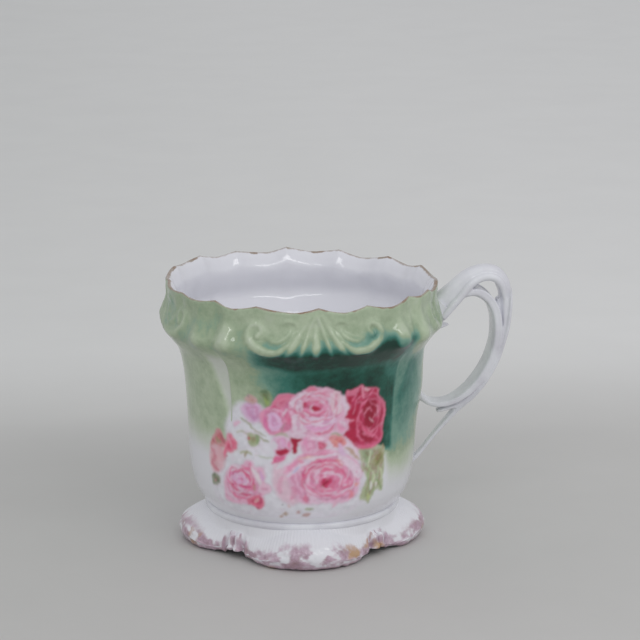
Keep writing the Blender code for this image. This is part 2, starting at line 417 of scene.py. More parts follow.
def gilding_left(turn):
    """How much of the rim's gilding is left: thin all round, thicker in blobs and towards the sides."""
    to_side = bump(90, 28, np.abs(turn))
    blobs = ease(0.05, 0.55, mottle(turn / 5, turn * 0, 91, 2))
    return 0.66 + 0.25 * to_side + 0.5 * blobs


def ground_with_painted_highlights(turn, height):
    """How deep the sprayed green ground is: 0 bare white, 0.4 sage, 0.7 teal, 1 almost black.

    Sage lies round the whole upper half. Teal lies over it on the front, from the collar's moulding down to
    the print, and hugs the print's right side. It also collects in the hollows of the moulding. Its raised
    lines and the flutes get less of it, as painted highlights that make them read paler.
    """
    z = height + 1.3 * mottle(turn / 11, height / 7, 5, 3) * ease(180, 166, np.abs(turn))
    past_print = ease(36, 44, turn) * ease(165, 115, turn)
    sage_foot = 34 - 12 * past_print
    sage = 0.45 + 0.06 * ease(68, 76, z) - 0.07 * ease(80, 86, z) * ease(-46, -28, turn)
    sage = sage * ease(sage_foot, sage_foot + 13 + 6 * past_print, z)
    strength = ease(-37, -9, turn) * (1 - 0.14 * past_print) * ease(88, 52, turn)
    top = 74.8 + 2.6 * bump(33, 8, turn) - 6 * ease(38, 56, turn)
    upper_edge = ease(top + 3.5, top - 2.5, z)
    lower_edge = ease(53, 61, z) * (1 - past_print) + ease(22, 58, z) * past_print
    lower_edge = np.maximum(lower_edge, ease(2, 30, turn) * (1 - past_print) * ease(34, 42, z))
    depth = sage + (0.84 - sage) * strength * upper_edge * lower_edge
    hug_top = 69 - 6 * ease(30, 40, turn)
    hug = ease(-14, 0, turn) * ease(44, 40.8, turn) * ease(hug_top + 2.5, hug_top - 3, z) * ease(37, 40, z)
    depth = depth + (1 - depth) * hug * 0.75
    spots = 0.30 * bump(43.5, 3, turn) * bump(76.2, 1.8, z) + 0.25 * bump(23, 4, turn) * bump(79.8, 1.4, z)
    pooled = 0.30 * ease(81, 75, z) * ease(-31, -22, turn) * ease(44, 36, turn) * ease(68, 72, z)
    relief = collar_relief(turn, height)
    # Painted highlight: the moulding's raised lines take less ground, so they read paler.
    depth = depth + spots + pooled * ease(0.9, 0.1, relief) - 0.10 * ease(0.3, 1.0, relief)
    # Painted highlight: in the flutes the ground is thinned, so they read paler.
    return np.clip(depth * (1 - 0.55 * flute_span(turn, height)), 0, 1)


# ---------------------------------------------------------------- materials

WHITE_READS = 200  # the sRGB level at which white glaze reads in the studio light
WHITE_ALBEDO = 0.84
GLAZE_RIPPLE = 0.000025  # metres


def linear(level):
    """The linear value of an sRGB level from 0 to 255."""
    c = level / 255
    return c / 12.92 if c <= 0.04045 else ((c + 0.055) / 1.055) ** 2.4


def seen(red, green, blue):
    """Base colour of a surface that reads as this sRGB colour where white glaze reads WHITE_READS."""
    return tuple(min(0.9, linear(c) / linear(WHITE_READS) * WHITE_ALBEDO) for c in (red, green, blue))


class Surface:
    """One material's node tree, and short ways to add nodes to it."""

    def __init__(self, name):
        self.material = bpy.data.materials.new(name)
        self.material.use_nodes = True
        self.tree = self.material.node_tree
        self.shader = self.tree.nodes["Principled BSDF"]

    def add(self, kind, **settings):
        node = self.tree.nodes.new("ShaderNode" + kind)
        for key, value in settings.items():
            setattr(node, key, value)
        return node

    def feed(self, node, values):
        """Puts numbers, (r, g, b) colours or other nodes' outputs into a node's inputs."""
        for key, value in values.items():
            if isinstance(value, bpy.types.NodeSocket):
                self.tree.links.new(value, node.inputs[key])
            else:
                node.inputs[key].default_value = (*value, 1) if isinstance(value, tuple) else value

    def attribute(self, name, output="Fac"):
        """A number, or with output "Color" a colour, that the mesh carries."""
        return self.add("Attribute", attribute_name=name).outputs[output]

    def position(self):
        """The object's own coordinates, in metres."""
        return self.add("TexCoord").outputs["Object"]

    def noise(self, scale, detail=3.0, roughness=0.5):
        node = self.add("TexNoise")
        where = self.position()
        self.feed(node, {"Vector": where, "Scale": scale, "Detail": detail, "Roughness": roughness})
        return node.outputs["Fac"]

    def calc(self, operation, first, second, clamp=False):
        node = self.add("Math", operation=operation, use_clamp=clamp)
        self.feed(node, {0: first, 1: second})
        return node.outputs[0]

    def sway(self, scale, detail, amount):
        """Noise about zero."""
        return self.calc("MULTIPLY", self.calc("SUBTRACT", self.noise(scale, detail, 0.6), 0.5), amount)

    def mapped(self, value, low, high, to_high=1.0):
        """A smooth rise from 0 at low to to_high at high."""
        node = self.add("MapRange", interpolation_type="SMOOTHSTEP")
        self.feed(node, {"Value": value, "From Min": low, "From Max": high, "To Max": to_high})
        return node.outputs["Result"]

    def mixed(self, share, first, second, blend="MIX"):
        node = self.add("Mix", data_type="RGBA", blend_type=blend)
        self.feed(node, {0: share, 6: first, 7: second})
        return node.outputs[2]

    def ramp(self, share, *stops):
        """A colour ramp with (position, colour) stops."""
        node = self.add("ValToRGB")
        elements = node.color_ramp.elements
        while len(elements) < len(stops):
            elements.new(0.5)
        for element, (position, colour) in zip(elements, stops):
            element.position = position
            element.color = (*colour, 1)
        self.feed(node, {"Fac": share})
        return node.outputs["Color"]

    def glazed(self, colour):
        """The finished material: a hard clear coat over the colour, with fired glaze's faint orange-peel."""
        peel = self.add("Bump")
        self.feed(peel, {"Strength": 0.5, "Distance": GLAZE_RIPPLE, "Height": self.noise(260, 2.0)})
        normal = peel.outputs["Normal"]
        self.feed(self.shader, {
            "Base Color": colour, "Roughness": 0.4, "Specular IOR Level": 0.12, "Normal": normal,
            "Coat Weight": 0.8, "Coat Roughness": 0.045, "Coat IOR": 1.45, "Coat Normal": normal,
        })
        return self.material


GLAZE_WHITE = seen(200, 200, 205)
GROUND_STOPS = [
    (0.0, GLAZE_WHITE), (0.2, seen(182, 187, 178)), (0.42, seen(158, 171, 147)), (0.52, seen(136, 152, 126)),
    (0.62, seen(104, 139, 124)), (0.8, seen(48, 103, 92)), (0.92, seen(20, 76, 63)), (1.0, seen(9, 48, 38)),
]


def body_glaze():
    """White glaze, sprayed green ground with painted highlights, rose print and worn gilding, from the
    mesh's attributes.
    """
    surface = Surface("body_glaze")
    ground = surface.attribute("ground")
    uneven = surface.calc("ADD", surface.sway(150, 3.0, 0.27), surface.sway(620, 4.0, 0.12))
    uneven = surface.calc("MULTIPLY", uneven, surface.mapped(ground, 0.02, 0.35))
    colour = surface.ramp(surface.calc("ADD", ground, uneven, clamp=True), *GROUND_STOPS)
    colour = surface.mixed(surface.attribute("cover"), colour, surface.attribute("print_colour", "Color"))
    wear = surface.noise(420, 3.0, 0.65)
    gilding = surface.calc("MULTIPLY", surface.attribute("gilding"), 1.15)
    gilding = surface.mapped(surface.calc("SUBTRACT", gilding, wear), -0.1, 0.5, 0.95)
    gold = surface.ramp(wear, (0.35, seen(142, 132, 122)), (0.6, seen(122, 98, 78)))
    return surface.glazed(surface.mixed(gilding, colour, gold))


def plain_glaze(name):
    """White glaze that pools a little darker in places."""
    surface = Surface(name)
    pooling = surface.noise(120, 3.0)
    return surface.glazed(surface.ramp(pooling, (0.35, seen(200, 201, 206)), (0.75, seen(184, 183, 190))))


# ---------------------------------------------------------------- the rose print

# Print colours, as they look in the studio light.
WHITE = (200, 199, 206)
BLUSH = (208, 188, 202)
PALE = (208, 163, 186)
LILAC = (198, 165, 194)
PINK = (206, 134, 165)
DUSTY = (198, 104, 134)
ROSE = (194, 78, 116)
CRIMSON = (164, 34, 66)
DEEP = (142, 26, 52)
OLIVE = (140, 140, 104)
LEAF = (158, 170, 136)
LEAF_LIGHT = (182, 190, 160)
LEAF_DARK = (112, 138, 94)
FOREST = (78, 104, 76)
SPECK = (70, 66, 70)


def petal(tint, softness, *points):
    """A patch with its edge's softness and the points round it."""
    return "petal", tint, softness, points


def fold(tint, half, *points):
    """A stroke with its half width and the points along it."""
    return "fold", tint, half, points


# Each flower's petals and folds, in the order they are painted. Points are millimetres across the wall from
# the middle of the front, and up from the table.
HALO = [
    petal(BLUSH, 1.0, (-16, 53), (-8, 57), (4, 60), (14, 58), (22, 56), (22.6, 44), (16, 38), (14, 28),
          (4, 24), (-8, 24), (-13, 32), (-14, 44)),
    petal(WHITE, 2.2, (-27, 56), (-22, 56.5), (-17, 55), (-12, 50), (-14, 42), (-22, 38), (-29, 41),
          (-32, 46), (-30, 52)),
    petal(WHITE, 2.5, (-38, 34), (-30, 38), (-18, 42), (2, 42), (14, 38), (20, 30), (16, 20), (0, 16),
          (-30, 17), (-39, 24)),
]
LILAC_SPRAY = [
    petal(LILAC, 0.9, (-25.5, 54), (-23.5, 56.6), (-20, 56.8), (-18, 55), (-18.4, 51), (-21, 49.6),
          (-24, 51.2)),
    fold((188, 140, 176), 0.9, (-23, 53.6), (-22, 53.2), (-21.2, 53.8)),
    fold((184, 132, 172), 0.7, (-20.9, 52.4), (-20.7, 50.6)),
    fold(PALE, 0.8, (-26, 49.4), (-27.5, 48.6), (-28, 47.6)),
    petal((180, 146, 138), 0.7, (-24, 57.2), (-22.8, 59), (-20.6, 58.8), (-19.6, 57.2), (-21.5, 56.2)),
    fold((128, 104, 98), 0.5, (-23.2, 58.6), (-22.6, 58.8)),
    petal(LEAF_DARK, 0.5, (-19, 59.6), (-17.6, 61.2), (-15.4, 60.9), (-14.6, 58.8), (-15, 56.6),
          (-16.2, 55.2), (-17.8, 56.6)),
    fold((146, 166, 98), 0.6, (-17.2, 58.4), (-16.2, 57), (-16, 56)),
    fold(FOREST, 0.6, (-18.4, 60.4), (-17, 60.9), (-15.8, 60.2)),
    fold(OLIVE, 0.35, (-26, 51), (-24, 49.9), (-22.4, 49.2), (-21.4, 47.9), (-19.4, 46.8), (-16.6, 45.2)),
    fold((164, 164, 140), 0.4, (-27.4, 45.6), (-25.2, 46.1), (-23.4, 45.4)),
    petal((148, 162, 122), 0.4, (-23.4, 45.4), (-22, 46.1), (-19.8, 46), (-18.6, 44.6), (-19.4, 42.4),
          (-21, 41.5), (-22.6, 42.4)),
    fold(LEAF_DARK, 0.45, (-20, 45.8), (-19.4, 44), (-20, 42.4)),
    fold((166, 72, 88), 0.65, (-22.7, 44.8), (-22.5, 43.8)),
    fold(OLIVE, 0.4, (-18.8, 45), (-16.8, 43.9), (-15.4, 43.6)),
    fold((152, 156, 118), 0.5, (-26, 38.7), (-24, 39.3), (-21.6, 38.9)),
    fold((142, 124, 88), 0.35, (-23.2, 39.9), (-24, 38.4), (-24.1, 37.1)),
    fold((160, 168, 140), 0.22, (-20, 38.6), (-17, 38.2), (-13.6, 38.3)),
]
LEFT_ROSE = [
    petal(PINK, 0.45, (-14.8, 56.2), (-13.8, 58.6), (-11.8, 60.4), (-8.8, 60.7), (-6.6, 60), (-6.6, 57.6),
          (-8.6, 55.4), (-7.8, 52), (-8, 49), (-9.6, 47.4), (-12.4, 46.4), (-14.8, 46.2), (-16.8, 47.6),
          (-18.4, 50), (-18.9, 53), (-17.2, 54.8)),
    petal(DUSTY, 0.4, (-14.6, 56.4), (-13.7, 58.7), (-11.5, 60.3), (-8.4, 60.5), (-6.8, 59.6), (-9, 58),
          (-10.6, 56.2), (-12.8, 55.7)),
    fold((206, 128, 152), 0.5, (-13, 57.4), (-11.2, 58.6), (-9, 59)),
    fold(ROSE, 0.45, (-15.2, 55.1), (-13.8, 55.9), (-12, 55.4)),
    petal((206, 168, 200), 0.5, (-15.9, 53.4), (-13.8, 54), (-11.8, 52.2), (-11.2, 49.6), (-12.6, 47.9),
          (-14.6, 47.4), (-16, 49.6)),
    fold((198, 104, 152), 0.45, (-16.6, 54.2), (-16.8, 52), (-17.2, 50), (-16.4, 48.4), (-15, 47.2)),
    petal((200, 92, 132), 0.4, (-10.2, 53.6), (-8.9, 53.1), (-7.8, 51.4), (-8.7, 50), (-10, 51)),
    petal((192, 112, 146), 0.4, (-10.8, 50), (-9, 49.5), (-8.6, 48), (-10.3, 47.7), (-11.4, 48.7)),
    fold(BLUSH, 0.4, (-10.9, 52.8), (-10.4, 54.4), (-9.4, 55.4)),
    fold(PALE, 0.35, (-14.4, 55), (-12.6, 54.8), (-11, 54)),
]
UPPER_ROSE = [
    petal(PALE, 0.4, (-9, 57.4), (-7.6, 59.8), (-5.6, 61), (-3.4, 62.4), (-1.4, 63.2), (0.8, 62.7),
          (3.6, 62.5), (6, 61.2), (8.1, 60.7), (8.2, 57.6), (9.2, 55), (9.3, 52), (7.4, 50.6), (6.4, 48),
          (4, 46.4), (0, 45.9), (-4, 46.4), (-7.6, 46.6), (-8.1, 49), (-7.6, 52), (-9, 54.4)),
    petal((200, 108, 136), 0.35, (-3.6, 61.3), (-2.6, 62.9), (-1.1, 63), (0.1, 61.9), (-1.5, 61.1)),
    petal(BLUSH, 0.4, (-7, 59.4), (-5.2, 60.9), (-3.4, 61.2), (-2.4, 60), (-4.4, 58.9)),
    petal((206, 160, 180), 0.4, (-1, 60.6), (1.4, 62), (4, 62.2), (5.8, 60.6), (5, 58.4), (2.4, 59.4)),
    petal((208, 176, 186), 0.35, (5.4, 60.9), (7.9, 60.4), (7.9, 57.2), (8.6, 54.6), (7, 53), (5.2, 54.2),
          (4.4, 57.6)),
    fold(DUSTY, 0.4, (6.3, 58.8), (6.7, 56.8), (6.2, 54.6)),
    fold(BLUSH, 0.35, (4.8, 60.4), (4.2, 58.6), (4.4, 56.4)),
    fold(BLUSH, 0.45, (7.9, 58.4), (7.7, 56), (7, 53.4)),
    petal(BLUSH, 0.4, (-8.9, 57), (-6.6, 59.4), (-4.8, 58.2), (-5.1, 56.2), (-6.8, 55.2)),
    petal(PINK, 0.4, (-5, 57.4), (-3.6, 58.9), (-1, 59.5), (1.6, 58.9), (3.4, 57.2), (3.6, 55.2),
          (2.3, 53.8), (-0.4, 53.1), (-3.2, 53.2), (-4.8, 54.6)),
    fold((192, 88, 128), 0.55, (-4.3, 54.6), (-2.2, 53.4), (1, 53.2), (3.4, 54.4)),
    fold(PALE, 0.45, (-3.6, 58), (-1, 58.9), (1.6, 58.3), (2.9, 56.8)),
    fold(DUSTY, 0.6, (-2.6, 57), (-1, 57.9), (0.8, 57.5), (1.6, 56.4)),
    petal((176, 46, 84), 0.4, (-4.7, 56.8), (-3.6, 57.8), (-2.8, 56.8), (-3.4, 55.7), (-4.4, 55.8)),
    petal(CRIMSON, 0.45, (-2.5, 56), (-1, 56.4), (0.8, 56), (0.9, 55), (-0.6, 54.6), (-2, 55)),
    fold(PALE, 0.3, (-3.2, 55.2), (-1.2, 54.2), (1.2, 54.3), (2.4, 55.4)),
    fold(ROSE, 0.5, (-8.8, 55.2), (-8.2, 54.8)),
    fold(DUSTY, 0.5, (-7.6, 54.6), (-5.6, 53.7), (-4.5, 52.3)),
    petal(BLUSH, 0.4, (-8, 52.2), (-6.4, 53.6), (-4.8, 52.2), (-4.2, 49.8), (-3, 48), (-5, 46.9),
          (-7.4, 47.2), (-7.9, 49.6)),
    petal((206, 176, 200), 0.35, (-4.2, 52.2), (-1.4, 52.5), (2.4, 52.2), (5.4, 52.6), (6.9, 51.2),
          (6.1, 49.2), (4.4, 47.7), (1.8, 47.2), (-1.6, 47.8), (-3.8, 49.2)),
    fold((204, 142, 178), 0.8, (-3.2, 49), (-0.6, 48.5), (2.2, 48.5), (4.6, 49.6)),
    fold(ROSE, 0.5, (-0.4, 46.9), (2.2, 46.9), (4.6, 47.9), (6, 49.8)),
    fold((208, 194, 208), 0.7, (-3, 51.2), (-0.4, 51), (2, 50.8)),
    petal(PALE, 0.35, (7, 51.2), (9, 51.4), (11.2, 50.8), (10.5, 49.4), (10.8, 47.8), (9.6, 46.7),
          (7.8, 46.3), (6.4, 47.6), (7, 49.6)),
    fold((214, 140, 160), 0.28, (9.6, 50.9), (11.4, 50.7), (13, 50.3)),
    fold(PINK, 0.6, (6.9, 49.8), (7.8, 48.4), (9.4, 47.4)),
    fold(BLUSH, 0.4, (7.8, 50.6), (9.2, 49.8), (9.9, 48.6)),
    petal(BLUSH, 0.45, (-8.4, 46.8), (-6, 47), (-3.6, 46.6), (-4.4, 45.4), (-7.6, 45.6)),
]
CRIMSON_ROSE = [
    petal((180, 60, 94), 0.4, (9.7, 58.8), (10.1, 61), (12, 60.8), (13.8, 61.8), (15.4, 62.3),
          (16.8, 61.1), (19, 61), (21, 60.6), (22.3, 59.6), (22.4, 57.4), (23.6, 55.8), (25.2, 54.6),
          (25.7, 52), (25, 49), (24.4, 46.4), (24.8, 44), (23.8, 41.4), (21.4, 40.3), (18, 39.8),
          (14.6, 40.2), (12.4, 42.2), (10.4, 44.4), (8.8, 45.7), (10, 47), (10.6, 49.4), (11, 50.3),
          (9.4, 51.4), (10.5, 53.6), (10.8, 55.6), (9.8, 57.2)),
    petal((198, 96, 126), 0.35, (10.1, 60.9), (12, 60.6), (13.8, 61.5), (14.2, 60), (12.6, 58.8),
          (10, 59)),
    petal(CRIMSON, 0.4, (10, 51.5), (11.4, 54.6), (13.6, 55.6), (15.2, 53.2), (15.4, 50), (14.2, 48),
          (12.4, 47.4), (10.7, 48.8), (12.6, 50.5)),
    petal(DEEP, 0.5, (16.2, 53.4), (17, 55.8), (19, 56.8), (21.4, 55.4), (21.9, 53), (21, 50.6),
          (20.4, 48), (18.6, 46.4), (16.9, 47.6), (16.6, 50.4)),
    petal(CRIMSON, 0.35, (9.1, 45.8), (11.4, 47.1), (13, 47.5), (13.5, 45), (14.6, 43), (12.6, 42.7),
          (10.6, 44.2)),
    petal((150, 30, 58), 0.35, (14.8, 45.6), (15.5, 43.4), (18, 42.2), (20.6, 42), (19, 43.8), (17, 44.9),
          (15.8, 46.4)),
    petal(CRIMSON, 0.35, (10.2, 58.4), (11.5, 58.8), (12.3, 57.2), (11.5, 56), (10.5, 56.6)),
    petal((158, 36, 66), 0.35, (13.4, 59.4), (14.8, 60.4), (15.2, 58.2), (14.4, 56.4), (13.4, 57.4)),
    petal((158, 40, 70), 0.35, (17, 59.2), (18.6, 60), (18.4, 58.4), (17.2, 57.4)),
    petal((166, 44, 74), 0.35, (19.6, 59.6), (21.4, 59.8), (21.6, 57.6), (20.2, 57.2)),
    fold((216, 140, 160), 0.4, (15.4, 62), (15.7, 59.8), (16.1, 57.6)),
    fold((206, 110, 140), 0.3, (12.1, 56.9), (12.9, 58.2), (13.7, 59.4)),
    fold((208, 110, 140), 0.38, (16.3, 55.2), (17.4, 57), (18.9, 58.6), (20.2, 60.2)),
    fold((200, 98, 130), 0.34, (14.9, 52.6), (15, 54.4), (16.1, 56)),
    fold((202, 100, 130), 0.42, (14.2, 50.2), (15.7, 49), (16.6, 46.6), (18.2, 45.1), (21, 43.6),
          (22.9, 42)),
    fold((198, 92, 122), 0.3, (13.5, 47.6), (14.3, 45.2), (15.4, 43)),
    fold((226, 152, 168), 0.3, (18.5, 50.3), (19.5, 49.3), (20.4, 48.4)),
    fold((214, 132, 152), 0.3, (18.2, 46), (19.8, 45.6), (21, 46.6)),
    fold((206, 118, 142), 0.28, (16.6, 51.8), (17.6, 53.2), (18.8, 53.6)),
    fold((196, 104, 130), 0.6, (22.8, 56.8), (24.5, 54.4), (25.1, 51.4), (24.2, 47.6)),
    fold((188, 76, 106), 0.45, (21.9, 54.8), (22.7, 52), (22.3, 49), (21.1, 46.6)),
    fold((170, 48, 78), 0.4, (23.4, 54), (23.8, 51), (23, 47.6), (22.4, 45)),
    fold((200, 96, 130), 0.7, (14.4, 41.2), (18, 40.7), (21.8, 41), (23.8, 42.6)),
    fold((216, 164, 176), 0.5, (16.3, 61), (17.4, 60.1), (18.4, 60.2)),
]
MIDDLE_BUDS = [
    petal(PALE, 0.4, (-5.4, 43.4), (-4.4, 45.6), (-2.4, 46), (1, 45.6), (4.2, 45.8), (3.6, 44),
          (1.4, 43.4), (0.6, 40.6), (-2.6, 40), (-4.8, 41)),
    fold(BLUSH, 0.5, (-1.6, 45.2), (0.8, 44.9), (3.2, 45)),
    fold((206, 138, 172), 0.6, (-3.2, 45.4), (-3.6, 43.6), (-2.8, 41.8)),
    petal((186, 62, 98), 0.35, (0.6, 43.4), (1.8, 43.9), (3.4, 43), (2.9, 41.6), (1.6, 41.3), (0.5, 42)),
    fold((206, 120, 150), 0.28, (1, 43), (1.8, 42.4), (2.2, 41.6)),
    petal((200, 122, 122), 0.5, (4.2, 44.4), (5, 46), (7, 45.8), (9.2, 44.8), (9.8, 42.6), (7.8, 41.6),
          (5.6, 42.2)),
    fold(OLIVE, 0.4, (4.6, 46.4), (6.4, 46.5), (8.6, 45.4)),
    fold((206, 146, 140), 0.45, (5.4, 44.4), (6.8, 43.4), (7.6, 42.4)),
    petal(LILAC, 0.4, (7.4, 42.8), (8.5, 42.6), (9.2, 40.6), (10.2, 38.6), (8.6, 38.9), (7.2, 40.6)),
    fold((158, 128, 100), 0.6, (9.8, 41.4), (11.6, 40.5), (12.8, 38.6), (14.8, 36.6)),
    petal((204, 172, 194), 0.4, (-14.6, 43.4), (-13.8, 45.4), (-12, 46.6), (-10, 46.4), (-8.6, 44.8),
          (-8.3, 42), (-9, 40), (-10.6, 38.4), (-13.4, 39.4)),
    fold((160, 162, 140), 0.5, (-13.6, 45.7), (-11.8, 46.8), (-10, 46.4), (-8.9, 45.2)),
    fold((156, 134, 138), 0.28, (-11.2, 46.8), (-11.1, 49), (-9.9, 50.7)),
    fold(WHITE, 0.8, (-14, 44), (-13.7, 42.4), (-13.2, 41.4)),
    fold((202, 146, 186), 0.8, (-11.4, 44.8), (-11, 43.4), (-10.2, 42.4)),
    petal(CRIMSON, 0.35, (-13.3, 40.8), (-11.6, 41.3), (-9.8, 41.7), (-8.8, 40.8), (-10, 39.7),
          (-11.8, 39.2), (-12.9, 39.8)),
    petal((200, 84, 130), 0.4, (-14.3, 36.2), (-13.6, 38.8), (-12, 39), (-10.2, 39.2), (-10.6, 37.8),
          (-12.2, 36.8)),
    fold((204, 104, 146), 0.45, (-8.8, 44.2), (-8.7, 42.6), (-8.4, 41)),
    petal((154, 28, 56), 0.3, (-8.4, 45.4), (-6, 45.3), (-4.4, 44.9), (-5.9, 43.9), (-6.2, 41.6),
          (-6.3, 40.3), (-7.7, 40.2), (-7.8, 42.6), (-8.2, 44.2)),
]
LOWER_ROSE = [
    petal((204, 176, 190), 1.1, (-14, 35.4), (-11, 36), (-6, 33), (-4, 27), (-6, 22.6), (-9, 22.4),
          (-12.4, 25), (-14.4, 30)),
    petal(PALE, 0.6, (-11, 35.6), (-8, 38), (-4, 40.2), (0, 41), (4, 41.2), (8, 40), (12, 38),
          (14.5, 35.6), (15.8, 32), (15.3, 29), (14.8, 26), (13.6, 23.8), (11, 22.4), (8, 22), (4, 22.4),
          (0, 22.6), (-4, 22.6), (-7, 25), (-9, 30)),
    fold((200, 150, 172), 0.9, (-11, 32), (-12, 29), (-11.6, 26)),
    fold((198, 130, 158), 0.9, (-7.6, 28.6), (-7.1, 26), (-8, 24)),
    fold(WHITE, 0.9, (-13, 34.6), (-9, 37.4), (-6.4, 40), (-5.6, 42.6)),
    fold(PINK, 0.8, (-10.4, 33.4), (-7, 36.6), (-4, 38.9), (0, 40.4), (4, 40.7)),
    fold((204, 172, 158), 0.5, (-6, 38), (-3, 38.7), (0, 38.4), (3, 39)),
    fold((204, 194, 212), 0.9, (-9.4, 32), (-6.6, 34.6), (-4, 36.8), (-1, 38), (3, 39.1), (7, 39.5)),
    fold(DUSTY, 0.45, (-5.7, 37.3), (-4.2, 37)),
    fold((180, 174, 204), 0.5, (-7.6, 33.4), (-5.6, 35.7)),
    fold((200, 98, 138), 0.25, (0.2, 39.4), (3, 39.7), (5.6, 39.9)),
    petal(BLUSH, 0.4, (7, 39.5), (10, 38.3), (13, 36.3), (15.2, 33.6), (15.6, 31), (14.2, 30), (12.6, 32),
          (10.8, 34.6), (9, 36.6), (7.4, 37.6)),
    petal(PINK, 0.5, (-4.9, 31), (-4.1, 34), (-2, 36.4), (1, 38), (4.6, 38.3), (7.6, 37.2), (9.6, 35),
          (11.6, 32), (12.6, 29.4), (12, 27), (10, 25.2), (6, 24.2), (2, 24.6), (-1, 26), (-3.6, 28)),
    petal((202, 98, 134), 0.35, (0, 36.2), (2, 37.4), (5, 37.8), (7.6, 36.4), (8.6, 34.2), (7, 33.1),
          (4, 33.4), (2, 33.6), (1.1, 34.8)),
    fold((216, 142, 166), 0.7, (3.2, 35), (4.8, 35.4), (6.2, 34.8)),
    fold((182, 58, 104), 0.55, (-3.5, 28.6), (-4.3, 31), (-3.8, 33.3), (-2, 35.3), (0.2, 36.7),
          (3, 37.7)),
    petal((206, 152, 178), 0.4, (-3.1, 32.8), (-1.6, 34.8), (0.5, 34.7), (1.4, 33), (1.1, 31), (0, 29),
          (-1.6, 28.2), (-3, 29.6)),
    fold((202, 112, 152), 0.6, (-2.4, 30), (-1.4, 28.8), (-0.2, 29.4)),
    fold((212, 170, 188), 0.5, (-1.8, 33.6), (-0.6, 33.8), (0.4, 32.6)),
    fold((226, 176, 194), 0.36, (1.6, 33.1), (4, 32.8), (6.5, 32.4), (8.1, 31.4), (9, 29.8)),
    petal((180, 56, 94), 0.5, (1.5, 28.1), (1.8, 30.6), (3, 31.5), (5, 31.1), (5.4, 29.8), (4.1, 28.5),
          (3, 27.6)),
    fold(DEEP, 0.5, (2, 28.6), (3, 29.6), (4.2, 30.4)),
    fold(DUSTY, 0.42, (0.1, 28.1), (1.5, 27.1), (4, 27.2), (5.9, 28.5), (6.6, 30.4)),
    fold((216, 150, 174), 0.3, (0.6, 29.2), (1.2, 30.8), (2.2, 31.9), (4, 32)),
    fold((196, 88, 128), 0.32, (6.8, 31.4), (7.3, 29.9), (7, 28)),
    fold((224, 178, 196), 0.32, (8.8, 31.6), (8.6, 29.6), (7.6, 27.4)),
    fold((192, 86, 128), 0.36, (9.4, 33.6), (10.6, 31.6), (11.8, 30)),
    fold((196, 72, 118), 0.5, (8, 34.4), (9.8, 32.2)),
    fold((198, 116, 152), 0.32, (-1.9, 26.6), (0, 25.2), (2.5, 24.8)),
    fold((220, 176, 194), 0.4, (-2.8, 27.4), (-0.8, 26), (2, 25.8), (4.4, 26)),
    fold((194, 112, 146), 0.32, (4.4, 26.8), (5.8, 25.8), (6.4, 25.2)),
    fold((188, 114, 146), 0.36, (7.6, 27.1), (9, 26.9), (10.1, 26.3)),
    fold((218, 180, 196), 0.4, (9, 28.8), (10.6, 28.2), (11.4, 29.4)),
    petal(DUSTY, 0.35, (-4, 24.2), (-3.4, 25.7), (-2.4, 24.4), (-3, 22.8)),
    petal((214, 178, 196), 0.5, (-2, 25), (0, 24.4), (2, 23), (0, 22.2), (-2, 23)),
    fold((204, 142, 132), 0.7, (13.6, 28.6), (14.3, 27.4)),
    fold((204, 120, 130), 0.8, (11.6, 26.2), (12.3, 24.8), (11.8, 23.4)),
    fold((202, 134, 124), 0.5, (6.4, 37.4), (7.9, 36.6), (8.8, 35.3)),
    fold((206, 158, 180), 0.6, (8, 24.2), (6.9, 22.4), (5.6, 20.7)),
]
